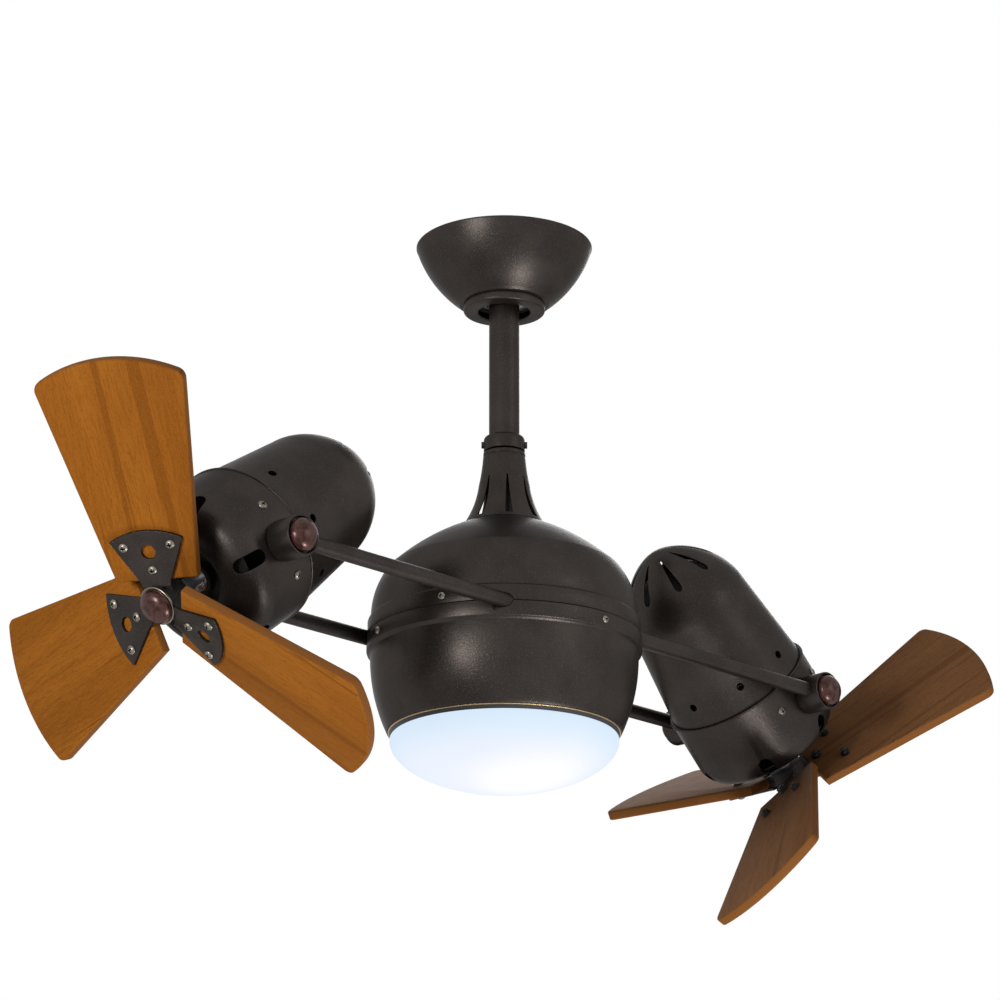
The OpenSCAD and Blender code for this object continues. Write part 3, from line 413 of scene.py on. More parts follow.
def paints():
    """The finishes, made once, by the record's slot names."""
    if not PAINTS:
        colours = bpy.context.scene.fan_colours
        PAINTS.update(
            bronze=textured_bronze(colours),
            red_bronze=mottled_cap(colours),
            blade_wood=blade_wood(colours),
            opal_glass=opal_glass(colours),
            nickel=plated("screw_nickel", tuple(colours.nickel), 0.3),
            brass=plated("lip_brass", tuple(colours.brass), 0.3),
            zinc_steel=plated("zinc_steel", linear(190, 192, 194), 0.3),
            black_steel=plated("black_steel", linear(62, 60, 58), 0.4),
            bearing_steel=plated("bearing_steel", linear(205, 207, 210), 0.2),
            die_cast=cast_metal("die_cast", linear(96, 95, 92)),
            die_cast_black=cast_metal("black_casting", linear(38, 35, 33)),
            laminations=varnished_core(colours),
            nylon=moulded("natural_nylon", linear(225, 220, 205), 0.45),
            dark_plastic=moulded("dark_plastic", linear(34, 34, 35)),
            white_plastic=moulded("white_plastic", linear(228, 228, 225)),
            white_sheet=moulded("white_sheet", linear(236, 236, 232), 0.6),
            lead_sleeve=moulded("lead_sleeve", linear(22, 22, 23), 0.4),
        )
    return PAINTS


# ---- making pieces ----


def head_place(side):
    """The frame of a fan head: Z from its pivot towards the rotor, Y along the pivot."""
    sign = -1 if side == "left" else 1
    return (Matrix.Translation((sign * SPAN / 2, 0, Z_ARM))
            @ Matrix.Rotation(0 if sign < 0 else math.pi, 4, "Z")
            @ Matrix.Rotation(math.radians(-90 - HEAD_TILT[side]), 4, "Y"))


def rotor_place(side):
    return head_place(side) @ Matrix.Rotation(math.radians(ROTOR_TURN[side]), 4, "Z")


def blade_place(side, index):
    """The frame of a blade: X along it, Y across it, Z off its front face."""
    return (rotor_place(side) @ Matrix.Rotation(math.radians(120 * index), 4, "Z")
            @ Matrix.Translation((0, 0, ROTOR_FRONT))
            @ Matrix.Rotation(math.radians(BLADE_PITCH), 4, "X"))


def around(angle, radius, height):
    """A frame on the body's side whose Z points outwards."""
    return (Matrix.Rotation(math.radians(angle), 4, "Z")
            @ Matrix.Translation((radius, 0, height)) @ Matrix.Rotation(math.pi / 2, 4, "Y"))


def arc(start, end, bulge, steps):
    """Points of an arc whose middle stands off the chord by bulge, to the left of the way."""
    start, end = Vector(start), Vector(end)
    chord = (end - start).length
    along = (end - start) / chord
    aside = Vector((-along.y, along.x))
    sign = 1 if bulge > 0 else -1
    radius = (chord * chord / 4 + bulge * bulge) / (2 * abs(bulge))
    half = math.asin(min(1, chord / 2 / radius))
    middle = (start + end) / 2 + aside * (bulge - sign * radius)
    return [tuple(middle + radius * (math.sin(a) * along + sign * math.cos(a) * aside))
            for a in (-half + 2 * half * i / steps for i in range(steps + 1))]


def dome(radius, height, power, steps):
    """A quarter of a rounded nose, from its rim to its pole."""
    return [(radius * math.cos(a) ** (2 / power) if i < steps else 0.0,
             height * math.sin(a) ** (2 / power))
            for i, a in ((i, math.pi / 2 * i / steps) for i in range(steps + 1))]


def finished(bm, name, slot, body, replaced=(), place=None, sharp=35):
    """Turns a bmesh in millimetres into a piece in place, painted and riding on its body."""
    mesh = bpy.data.meshes.new(name)
    if place is not None:
        bm.transform(place)
    bm.transform(Matrix.Scale(0.001, 4))
    bm.to_mesh(mesh)
    bm.free()
    piece = bpy.data.objects.new(name, mesh)
    bpy.context.scene.collection.objects.link(piece)
    mesh.materials.append(paints()[slot])
    mesh.polygons.foreach_set("use_smooth", [True] * len(mesh.polygons))
    mesh.set_sharp_from_angle(angle=math.radians(sharp))
    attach(piece, body)
    if replaced:
        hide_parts(*replaced)
    return piece


def tidy(bm):
    """Merges doubled points and turns every face outwards."""
    bmesh.ops.remove_doubles(bm, verts=bm.verts, dist=0.001)
    bmesh.ops.recalc_face_normals(bm, faces=bm.faces)
    return bm


def turned(outline, steps=None, into=None):
    """A closed outline of radius and height, turned round Z, in a new bmesh or a given one."""
    steps = steps or bpy.context.scene.fan_sizes.turn_steps
    bm = bmesh.new() if into is None else into
    points = [bm.verts.new((r, 0, z)) for r, z in outline]
    edges = [bm.edges.new((a, b)) for a, b in zip(points, points[1:] + points[:1])]
    bmesh.ops.spin(bm, geom=points + edges, cent=(0, 0, 0), axis=(0, 0, 1),
                   angle=2 * math.pi, steps=steps, use_merge=True, use_duplicate=False)
    return tidy(bm)


def prism(outline, low, high):
    """An outline in the XY plane, raised from low to high."""
    bm = bmesh.new()
    face = bm.faces.new([bm.verts.new((x, y, low)) for x, y in outline])
    raised = bmesh.ops.extrude_face_region(bm, geom=[face])
    tops = [v for v in raised["geom"] if isinstance(v, bmesh.types.BMVert)]
    bmesh.ops.translate(bm, verts=tops, vec=(0, 0, high - low))
    bmesh.ops.recalc_face_normals(bm, faces=bm.faces)
    return bm


def round_edges(bm, width, segments=2, angle=30, chosen=None):
    edges = [e for e in bm.edges if len(e.link_faces) == 2
             and e.calc_face_angle(0) > math.radians(angle) and (chosen is None or chosen(e))]
    bmesh.ops.bevel(bm, geom=edges, offset=width, offset_type="OFFSET", affect="EDGES",
                    segments=segments, profile=0.5, material=-1, clamp_overlap=True)
    return bm


def rod(radius, start, end, steps=32):
    """A closed rod from start to end."""
    start, end = Vector(start), Vector(end)
    way = end - start
    bm = bmesh.new()
    place = (Matrix.Translation((start + end) / 2)
             @ Vector((0, 0, 1)).rotation_difference(way).to_matrix().to_4x4())
    bmesh.ops.create_cone(bm, cap_ends=True, cap_tris=False, segments=steps,
                          radius1=radius, radius2=radius, depth=way.length, matrix=place)
    return bm


def stadium(length, width, steps=10):
    """Outline of a slot along X."""
    half = (length - width) / 2
    turn = [math.pi * (i / steps - 0.5) for i in range(steps + 1)]
    right = [(half + width / 2 * math.cos(a), width / 2 * math.sin(a)) for a in turn]
    return right + [(-x, -y) for x, y in right]


def carved(bm, cutters):
    """The shape less every cutter, each of which is a closed bmesh."""
    made = []
    for i, shape in enumerate([bm, *cutters]):
        mesh = bpy.data.meshes.new(f"carving_{i}")
        shape.to_mesh(mesh)
        shape.free()
        made.append(bpy.data.objects.new(f"carving_{i}", mesh))
        bpy.context.scene.collection.objects.link(made[-1])
    for cutter in made[1:]:
        cut = made[0].modifiers.new("cut", "BOOLEAN")
        cut.operation = "DIFFERENCE"
        cut.solver = "EXACT"
        cut.object = cutter
    graph = bpy.context.evaluated_depsgraph_get()
    result = bmesh.new()
    result.from_object(made[0], graph)
    for piece in made:
        mesh = piece.data
        bpy.data.objects.remove(piece)
        bpy.data.meshes.remove(mesh)
    bmesh.ops.remove_doubles(result, verts=result.verts, dist=0.0005)
    return result


def joined(parts):
    """Several closed shapes in one bmesh."""
    bm = bmesh.new()
    for part in parts:
        mesh = bpy.data.meshes.new("part")
        part.to_mesh(mesh)
        part.free()
        bm.from_mesh(mesh)
        bpy.data.meshes.remove(mesh)
    return bm


def copies(make, places):
    """One shape made once and set at each place."""
    first = make()
    mesh = bpy.data.meshes.new("copied")
    first.to_mesh(mesh)
    first.free()
    bm = bmesh.new()
    for place in places:
        start = len(bm.verts)
        bm.from_mesh(mesh)
        bm.verts.ensure_lookup_table()
        bmesh.ops.transform(bm, matrix=place, verts=bm.verts[start:])
    bpy.data.meshes.remove(mesh)
    return bm


def softened(node, name, slot, body, width, angle=35):
    """A copy of a construction node with its hard edges rounded."""
    bm = bmesh.new()
    bm.from_mesh(NODES[node].data)
    bm.transform(Matrix.Scale(1000, 4))
    bmesh.ops.remove_doubles(bm, verts=bm.verts, dist=0.002)
    bmesh.ops.dissolve_limit(bm, angle_limit=math.radians(1), verts=bm.verts, edges=bm.edges)
    round_edges(bm, width, 2, angle)
    return finished(bm, name, slot, body, (node,), sharp=40)


def cross_screw(head, height, shank, length):
    """A domed screw with a cross recess; its head stands on Z = 0."""
    profile = ([(0, -length), (shank / 2, -length), (shank / 2, 0), (head / 2, 0)]
               + arc((head / 2, 0.35), (0, height), -height / 4, 7))
    profile[-1] = (0.0, height)
    bar = head * 0.26
    slot = head * 0.075
    bars = [prism([(-bar, -slot), (bar, -slot), (bar, slot), (-bar, slot)],
                  -0.2, height + 1),
            prism([(-slot, -bar), (slot, -bar), (slot, bar), (-slot, bar)],
                  -0.2, height + 1)]
    return round_edges(carved(turned(profile, 28), bars), 0.12, 1, 50)


def paint_nodes(names):
    """Gives construction nodes that stay their finish."""
    slots = {s["node"]: s["material_slot"] for s in frame["record"]["subparts"]}
    for name in names:
        node = NODES[name]
        if not node.material_slots:
            node.data.materials.append(None)
        for place in node.material_slots:
            place.material = paints()[slots[name]]


# ---- operators, one for each group of pieces ----


class FanOperator:
    bl_options = {"REGISTER", "UNDO"}


class FAN_OT_canopy(FanOperator, Operator):
    """Make the canopy, its trim ring and screws over the ceiling bracket and ball"""

    bl_idname = "fan.canopy"
    bl_label = "Canopy"

    def execute(self, context):
        wall = 1.2
        outer = ([(76.9, 0.0), (77.5, -0.2), (77.7, -0.9)]
                 + arc((77.5, -1.6), (40.4, -53.0), 4.9, 22)
                 + [(39.9, -53.6), (39.2, Z_CANOPY)])
        inner = arc((76.3, -0.2), (38.3, Z_CANOPY + wall), 4.9, 18)
        bm = turned(outer + [(25, Z_CANOPY), (25, Z_CANOPY + wall)] + inner[::-1])
        finished(bm, "canopy_shell", "bronze", "ceiling_mount", ("canopy",))
        ring = ([(34.4, Z_CANOPY), (35.5, Z_CANOPY), (36, Z_CANOPY - 0.5)]
                + arc((36, Z_TRIM + 2.4), (34, Z_TRIM + 0.3), 0.6, 6)
                + arc((24, Z_TRIM), (23, Z_TRIM + 1), 0.28, 3)
                + [(23, Z_TRIM + 1.6), (33, Z_TRIM + 1.6), (34.4, Z_TRIM + 3)])
        finished(turned(ring), "canopy_trim", "bronze", "ceiling_mount", ("canopy_trim_ring",))
        # A thin dark plastic ring round the canopy's top edge: painted shade where the rim rolls
        # in.
        canopy_shade_outline = [(76.2, -0.1), (77.4, -0.1), (77.85, -0.5), (77.85, -1.1), (76.4, -1.4)]
        finished(turned(canopy_shade_outline), "canopy_shade_ring", "dark_plastic", "ceiling_mount")
        places = [Matrix.Rotation(math.radians(60 + 120 * i), 4, "Z")
                  @ Matrix.Translation((30.5, 0, Z_CANOPY)) @ Matrix.Rotation(math.pi, 4, "X")
                  for i in range(3)]
        bm = copies(lambda: cross_screw(7, 2.4, 3.8, 6), places)
        finished(bm, "canopy_screw_set", "nickel", "ceiling_mount", ("canopy_screws",))
        paint_nodes(["ceiling_bracket", "hanger_ball", "cross_pins", "supply_lead"])
        return {"FINISHED"}


class FAN_OT_downrod(FanOperator, Operator):
    """Make the downrod, the coupling collar and its set screws"""

    bl_idname = "fan.downrod"
    bl_label = "Downrod"

    def execute(self, context):
        pipe = [(13.35, Z_BALL + 20.4), (12.75, Z_BALL + 21), (10.45, Z_BALL + 21),
                (10.45, Z_COLLAR_TOP - 11), (13.35, Z_COLLAR_TOP - 11)]
        finished(turned(pipe, 96), "downrod_pipe", "bronze", "hanging_rod", ("downrod",))
        collar = ([(13.45, Z_COLLAR_TOP - 1.2), (14.1, Z_COLLAR_TOP - 0.9)]
                  + arc((14.3, Z_COLLAR_TOP - 1), (18, Z_COLLAR_TOP - 5), 1.1, 8)
                  + arc((18, Z_COLLAR + 1), (17, Z_COLLAR), 0.28, 4)
                  + [(10.4, Z_COLLAR), (10.4, Z_COLLAR_TOP - 11.1),
                     (13.4, Z_COLLAR_TOP - 11.1)])
        finished(turned(collar, 96), "collar", "bronze", "hanging_rod", ("coupling_collar",))
        softened("set_screws", "grub_screws", "black_steel", "hanging_rod", 0.35, 40)
        paint_nodes(["spindle", "spindle_nut", "slip_ring_core"])
        return {"FINISHED"}


def neck_outline(inset):
    """The neck's wall from its top to its flared foot."""
    knee = Z_NECK_TOP - NECK_H * 0.45
    return (arc((18.5 - inset, Z_NECK_TOP - 4.6), (22.2 - inset, knee), -0.4, 10)
            + arc((22.2 - inset, knee - 0.01), (36 - inset, Z_NECK), -2.2, 14))


def arm_holes():
    """Cutters for the arms where they pass through the body's shells."""
    return [rod(ARM_R + 0.3, (-130, y, Z_ARM), (130, y, Z_ARM)) for y in (-ARM_Y, ARM_Y)]


class FAN_OT_body(FanOperator, Operator):
    """Make the neck cover, the domed cap, both body shells and their screws"""

    bl_idname = "fan.body"
    bl_label = "Body"

    def execute(self, context):
        edge = context.scene.fan_sizes.edge_round * 1000
        vent_top = Z_NECK_TOP - NECK_H * 0.37
        bead = [(17.7, Z_NECK_TOP), (18.3, Z_NECK_TOP - 0.5), (18.4, Z_NECK_TOP - 3.2),
                (17.9, Z_NECK_TOP - 3.7), (17.8, Z_NECK_TOP - 4.1)]
        neck = turned(bead + neck_outline(0)
                      + [(28, Z_NECK), (28, Z_NECK + 1.5), (33.7, Z_NECK + 1.5)]
                      + neck_outline(WALL)[::-1][1:-1]
                      + [(16.4, Z_NECK_TOP - 4.2), (16.4, Z_NECK_TOP - 2),
                         (11.5, Z_NECK_TOP - 2), (11.5, Z_NECK_TOP)])
        vent = [(-3.25, Z_NECK + 3.8), (-2.5, Z_NECK + 3), (2.5, Z_NECK + 3),
                (3.25, Z_NECK + 3.8), (2.7, Z_NECK + 12), (0.55, vent_top - 0.5),
                (0, vent_top), (-0.55, vent_top - 0.5), (-2.7, Z_NECK + 12)]
        cutters = []
        for i in range(8):
            cutter = prism(vent, 8, 40)
            cutter.transform(Matrix.Rotation(math.radians(6.5 + 45 * i), 4, "Z")
                             @ Matrix(((0, 0, 1, 0), (1, 0, 0, 0), (0, 1, 0, 0), (0, 0, 0, 1))))
            cutters.append(cutter)
        neck = round_edges(carved(neck, cutters), 0.25, 1, 40)
        finished(neck, "neck", "bronze", "carriage", ("neck_cover",))

        flat = 34.5
        cap = ([(28, Z_NECK), (flat, Z_NECK)]
               + arc((flat + 1, Z_NECK - 0.6), (99.2, Z_SEAM + 0.6), 3.5, 28)
               + [(99.7, Z_SEAM), (99.6, Z_SEAM - 1.4)]
               + arc((flat + 1, Z_NECK - 2.1), (98.6, Z_SEAM - 1.4), 3.5, 16)[::-1]
               + [(28, Z_NECK - 1.5)])
        finished(turned(cap), "domed_cap", "bronze", "carriage", ("top_cap",))
        foot = (arc((34.6, Z_NECK + 1.6), (41.5, Z_NECK - 3.6), -0.9, 8)
                + [(40.5, Z_NECK - 4), (34, Z_NECK - 0.4)])
        finished(turned(foot), "neck_foot", "bronze", "carriage")

        shoulder = (arc((100.3, Z_SEAM - 0.1), (114.8, Z_BELT_TOP), 4.3, 24)
                    + [(115.6, Z_BELT_TOP - 0.5), (116.6, Z_BELT_TOP - 1.0),
                       (117.3, Z_BELT_TOP - 1.6), (117.6, Z_BELT_TOP - 2.4),
                       (117.6, Z_ARM + 1.0), (117.3, Z_ARM + 0.4), (116.4, Z_ARM + 0.2),
                       (116.4, Z_ARM - 10.5), (114.9, Z_ARM - 10.5),
                       (114.9, Z_BELT_TOP - 3)]
                    + arc((98.2, Z_SEAM - 4), (113.3, Z_BELT_TOP), 4.3, 14)[::-1]
                    + [(92, Z_SEAM - 3), (92, Z_SEAM - 1.6), (100, Z_SEAM - 1.6),
                       (100, Z_SEAM - 0.3)])
        upper = round_edges(carved(turned(shoulder), arm_holes()), edge, 1, 45)
        finished(upper, "upper_body", "bronze", "carriage", ("upper_shell",))

        bowl = ([(118.0, Z_ARM - 0.1), (118.4, Z_ARM - 0.5), (118.4, Z_BELT + 1.2),
                 (118.1, Z_BELT + 0.5), (117.4, Z_BELT), (116.2, Z_BELT - 0.6)]
                + arc((115.2, Z_BELT - 2), (100.45, Z_RIM + 2.5), 3.9, 26)
                + [(100, Z_RIM + 2.05), (98.3, Z_RIM + 2.05)]
                + arc((113.7, Z_BELT - 2), (98.75, Z_RIM + 2.5), 3.9, 16)[::-1]
                + [(116.5, Z_BELT + 2), (116.5, Z_ARM - 0.1)])
        shelf = [(91.4, Z_RIM + 7), (101.6, Z_RIM + 7), (101.6, Z_RIM + 8.5),
                 (91.4, Z_RIM + 8.5)]
        lower = round_edges(carved(turned(bowl), arm_holes()), edge, 1, 45)
        lower = joined([lower, turned(shelf, 96)])
        finished(lower, "lower_body", "bronze", "carriage", ("lower_shell",))

        places = ([around(a, 117.7, Z_ARM + 7.0) for a in UPPER_SCREWS]
                  + [around(a, 118.5, Z_ARM - 6.75) for a in LOWER_SCREWS])
        bm = copies(lambda: cross_screw(6.6, 2.1, 4, 8), places)
        finished(bm, "belt_screw_set", "nickel", "carriage", ("belt_screws",))
        paint_nodes(["hub_block", "carriage_bearings", "brush_block", "clamp_screws"])
        return {"FINISHED"}


class FAN_OT_light(FanOperator, Operator):
    """Make the lit glass bowl and the brass lip that holds it"""

    bl_idname = "fan.light"
    bl_label = "Light"

    def execute(self, context):
        belly, radius, depth, thick = Z_RIM - 5.2, 98, 41.8, 3
        outer = [(r, belly - h) for r, h in dome(radius, depth, 1.9, 34)]
        inner = [(r, belly - h) for r, h in dome(radius - thick, depth - thick, 1.9, 30)]
        bowl = ([(97.8, Z_RIM + 3), (95.3, Z_RIM + 2.9), (95.3, Z_RIM - 1.8),
                 (96.6, Z_RIM - 2), (97.5, Z_RIM - 3)] + outer + inner[::-1]
                + [(92.3, Z_RIM - 1), (92.3, Z_RIM + 5), (97.8, Z_RIM + 5)])
        finished(turned(bowl), "opal_bowl", "opal_glass", "carriage", ("glass_bowl",), sharp=50)
        lip = ([(96.5, Z_RIM + 2.8), (97.8, Z_RIM + 2.8), (97.8, Z_RIM + 2), (99.1, Z_RIM + 2)]
               + arc((99.4, Z_RIM + 1.75), (98.8, Z_RIM + 0.9), 0.25, 5)
               + [(96.5, Z_RIM + 0.9)])
        finished(turned(lip), "glass_lip", "brass", "carriage", ("lip_ring",))
        # A dark ring in the gap between the brass lip and the glass: painted shade in that gap.
        lip_shade_outline = [(95.7, Z_RIM + 0.85), (98.4, Z_RIM + 0.85), (97.1, Z_RIM - 1.85),
                (95.7, Z_RIM - 1.85)]
        finished(turned(lip_shade_outline), "glass_shade_ring", "dark_plastic", "carriage")
        paint_nodes(["light_pan", "driver_box", "diode_board"])
        return {"FINISHED"}


def domed_cap(radius, plug, depth):
    """A domed cap on Z = 0, with a small step round its rim and a plug below."""
    profile = ([(0, -depth), (plug, -depth), (plug, 0), (radius - 0.6, 0), (radius, 0.5),
                (radius, 0.9)]
               + [(r, 1 + h) for r, h in dome(radius - 0.15, 9, 2, 16)])
    return turned(profile, 72)


class FAN_OT_arms(FanOperator, Operator):
    """Make the arms, the pivot barrels and their domed caps"""

    bl_idname = "fan.arms"
    bl_label = "Arms"

    def execute(self, context):
        def barrel():
            body = [(6.05, 0), (16, 0), (16.7, 0.3), (17, 1), (17, 23.6), (16.7, 24.5),
                    (16, 24.9), (15.2, 24.6), (14.9, 23.9), (14.7, 20.5), (12.05, 20.5),
                    (12.05, 19.5), (6.05, 19.5)]
            return turned(body, 72)

        ends = []
        for sx in (-1, 1):
            for sy in (-1, 1):
                way = Matrix.Rotation(-sy * math.pi / 2, 4, "X")
                ends.append((Matrix.Translation((sx * SPAN / 2, sy * BARREL_IN, Z_ARM)) @ way,
                             Matrix.Translation((sx * SPAN / 2, sy * BARREL_OUT, Z_ARM)) @ way))
        finished(copies(barrel, [e[0] for e in ends]), "pivot_barrel_set", "bronze", "carriage",
                 ("pivot_barrels",))
        bm = copies(lambda: domed_cap(13.6, 12, 4), [e[1] for e in ends])
        finished(bm, "pivot_cap_set", "red_bronze", "carriage",
                 ("pivot_caps",))
        end = 312.5
        for name, y in (("front_arm", -ARM_Y), ("rear_arm", ARM_Y)):
            tube = turned([(ARM_R, -end), (ARM_R, end), (ARM_R - WALL, end),
                           (ARM_R - WALL, -end)], 48)
            finished(tube, f"{name}_tube", "bronze", "carriage", (name,),
                     Matrix.Translation((0, y, Z_ARM)) @ Matrix.Rotation(math.pi / 2, 4, "Y"))
        paint_nodes(["arm_leads"])
        return {"FINISHED"}


def shell_screw_places(side):
    """Two screws beside each trunnion, on the front shell's side."""
    return [head_place(side) @ around(a + b, HEAD_R + 0.1, -6.5)
            for a in (-90, 90) for b in (-27.5, 27.5)]


class FAN_OT_heads(FanOperator, Operator):
    """Make each head's front and rear shell with their vents, screws and motor"""

    bl_idname = "fan.heads"
    bl_label = "Heads"

    def execute(self, context):
        edge = context.scene.fan_sizes.edge_round * 1000
        for side in SIDES:
            body = f"{side}_head"
            place = head_place(side)
            rolled = arc((HEAD_R, HEAD_SPLIT + 2.4), (HEAD_R, HEAD_SPLIT), 1.15, 10)
            front = (rolled[::-1] + arc((HEAD_R, 23), (46, 45), -6.44, 18)
                     + [(34, 45), (33, 44.5), (33, 43.4)]
                     + arc((66.4, 23), (46, 43.4), -5.97, 14)[::-1] + [(66.4, HEAD_SPLIT)])
            cutters = [rod(TRUNNION_HOLE_R, (0, s * 40, 0), (0, s * 80, 0), 48)
                       for s in (-1, 1)]
            for i in range(6):
                slot = prism(stadium(28, 12.5), 13, 33)
                slot.transform(Matrix.Rotation(math.radians(90 + 60 * i), 4, "Z")
                               @ Matrix.Translation((46, 0, 23))
                               @ Matrix.Rotation(math.radians(52), 4, "Y"))
                cutters.append(slot)
            shell = round_edges(carved(turned(front), cutters), edge * 1.9, 3, 38)
            finished(shell, f"{side}_front_cover", "bronze", body, (f"{side}_front_shell",),
                     place)

            def rear_line(inset):
                return ([(HEAD_R - 2 - inset, HEAD_SPLIT)]
                        + [(r, REAR_NOSE - h) for r, h in
                           dome(57 - inset, 62.5 - inset, 1.7, 30)])

            rear = ([(66.1, -2), (66.1, HEAD_SPLIT + 0.5)] + rear_line(0)
                    + rear_line(WALL)[::-1] + [(64.6, -2)])
            cutters = [rod(11, (0, s * 40, 0), (0, s * 80, 0), 40) for s in (-1, 1)]
            for i in range(8):
                turn = Matrix.Rotation(math.radians(90 + 45 * i), 4, "Z")
                cutters.append(rod(3.6, turn @ Vector((40, 0, -47)),
                                   turn @ Vector((70, 0, -47)), 24))
                tear = ([(15.4, -0.6)] + arc((41.6, -3.5), (41.6, 3.5), -3.4, 8)
                        + [(15.4, 0.6)])
                cutter = prism(tear, -178, -118)
                cutter.transform(turn)
                cutters.append(cutter)
            shell = round_edges(carved(turned(rear), cutters), edge, 1, 42)
            finished(shell, f"{side}_rear_cover", "bronze", body, (f"{side}_rear_shell",),
                     place)
            # A black disc inside the head behind the front vents: painted shade inside the head.
            shade_disc_outline = turned([(24.2, 36), (58, 36), (58, 37.4), (24.2, 37.4)], 96)
            finished(shade_disc_outline, f"{side}_front_shade_disc", "die_cast_black", body, (), place)
            # A black dome lining the rear shell's nose behind its vents: painted shade inside the
            # head.
            shade_dome_outline = ([(r, REAR_NOSE + 2 - h) for r, h in dome(46, 50, 1.7, 20)]
                     + [(r, REAR_NOSE + 2 - h) for r, h in dome(44.8, 48.8, 1.7, 20)][::-1])
            finished(turned(shade_dome_outline, 96), f"{side}_rear_shade_dome", "die_cast_black", body, (),
                     place)
            bm = copies(lambda: cross_screw(7.6, 2.3, 4, 8.5), shell_screw_places(side))
            finished(bm, f"{side}_cover_screws", "nickel", body, (f"{side}_shell_screws",))
            paint_nodes([f"{side}_motor_frame", f"{side}_stator", f"{side}_motor_bearings"])
            # The motor frames take the black casting finish in place of their own: painted shade
            # inside each head.
            for place in NODES[f"{side}_motor_frame"].material_slots:
                place.material = paints()["die_cast_black"]
        return {"FINISHED"}


def iron_plate(thick):
    """A blade iron: a fan shaped plate with an arched edge, a neck and a round window."""
    outline = ([(9, -5), (15.6, -5), (15.6, -12), (20.3, -13)]
               + arc((56, -31.3), (56, 31.3), -8, 20)
               + [(20.3, 13), (15.6, 12), (15.6, 5), (9, 5)])
    plate = prism(outline, 0, thick)
    window = rod(6, (45.6, 0, -2), (45.6, 0, thick + 2), 32)
    plate = carved(plate, [window])
    return round_edges(plate, 0.6, 2, 38, lambda e: max(v.co.x for v in e.verts) > 15.7)


def blade_outline():
    """A blade seen from the front: narrow at the hub, with an arched tip."""
    (root, narrow), (reach, wide) = BLADE_ROOT, BLADE_TIP
    return [(root, -narrow)] + arc((reach, -wide), (reach, wide), -17, 24) + [(root, narrow)]


def make_blade(side, index, soft):
    """A flat wooden blade with an arched tip, rounded corners and softened edges."""
    bm = prism(blade_outline(), -BLADE_T / 2, BLADE_T / 2 - 0.02)
    corners = [e for e in bm.edges
               if abs(e.verts[0].co.z - e.verts[1].co.z) > BLADE_T / 2
               and abs(e.verts[0].co.x - BLADE_TIP[0]) < 0.5
               and abs(abs(e.verts[0].co.y) - BLADE_TIP[1]) < 0.5]
    bmesh.ops.bevel(bm, geom=corners, offset=6, offset_type="OFFSET", affect="EDGES",
                    segments=6, profile=0.5, material=-1)
    bm = carved(bm, [rod(SCREW_HOLE_R, (x, y, -8), (x, y, 8), 20) for x, y in IRON_SCREWS])
    round_edges(bm, soft, 3, 50, lambda e: all(
        min((v.co.xy - Vector(p)).length for p in IRON_SCREWS) > SCREW_HOLE_R + 0.9
        for v in e.verts)
        and (e.verts[0].co.z > 0) == (e.verts[1].co.z > 0))
    place = blade_place(side, index)
    name = f"{side}_wood_{index + 1}"
    blade = finished(bm, name, "blade_wood", f"{side}_rotor",
                     (f"{side}_blade_{index + 1}",), place)
    back = place.inverted()
    offset = Vector((0.71 * index + (2.3 if side == "right" else 0.0), 0.37 * index, 0.0))
    grain = blade.data.attributes.new("grain", "FLOAT_VECTOR", "POINT")
    values = []
    for vertex in blade.data.vertices:
        values.extend((back @ (vertex.co * 1000)) * 0.001 + offset)
    grain.data.foreach_set("vector", values)
    return blade


class FAN_OT_rotors(FanOperator, Operator):
    """Make the wooden blades, their irons, hubs, screws and caps"""

    bl_idname = "fan.rotors"
    bl_label = "Rotors"

    def execute(self, context):
        soft = context.scene.fan_sizes.blade_round * 1000
        for side in SIDES:
            body = f"{side}_rotor"
            frames = [blade_place(side, i) for i in range(3)]
            for i in range(3):
                make_blade(side, i, soft)
            lift = Matrix.Translation((0, 0, BLADE_T / 2))
            bm = copies(lambda: iron_plate(IRON_T), [f @ lift for f in frames])
            finished(bm, f"{side}_iron_set", "bronze", body, (f"{side}_blade_irons",))
            softened(f"{side}_blade_hub", f"{side}_hub", "die_cast_black", body, 0.4, 40)
            heads, nuts = [], []
            for f in frames:
                for x, y in IRON_SCREWS:
                    heads.append(f @ Matrix.Translation((x, y, BLADE_T / 2 + IRON_T)))
                    nuts.append(f @ Matrix.Translation((x, y, -BLADE_T / 2 - 0.05))
                                @ Matrix.Rotation(math.pi, 4, "X"))

            def nut():
                bm = prism([(3.9 * math.cos(a), 3.9 * math.sin(a))
                            for a in (math.pi / 3 * k for k in range(6))], 0.9, 4.2)
                turned([(0, 0), (4.9, 0), (4.9, 0.9), (0, 0.9)], 24, bm)
                turned([(0, 4.1), (2, 4.1), (2, 5), (1.5, 5.4), (0, 5.4)], 16, bm)
                return bm

            finished(copies(lambda: cross_screw(8.2, 2.6, 4, 12), heads),
                     f"{side}_iron_screws", "nickel", body, (f"{side}_blade_screws",))
            finished(copies(nut, nuts), f"{side}_iron_nuts", "black_steel", body,
                     (f"{side}_blade_screws",))
            finished(domed_cap(14.9, 5.8, 3.4), f"{side}_spinner", "red_bronze", body,
                     (f"{side}_hub_cap",),
                     rotor_place(side) @ Matrix.Translation((0, 0, HUB_FRONT)))
            finished(turned([(6, 86.4), (16.4, 86.4), (16.4, 87.7), (16, 88), (6, 88)], 72),
                     f"{side}_cap_washer", "nickel", body, (), rotor_place(side))
            paint_nodes([f"{side}_motor_rotor"])
        return {"FINISHED"}


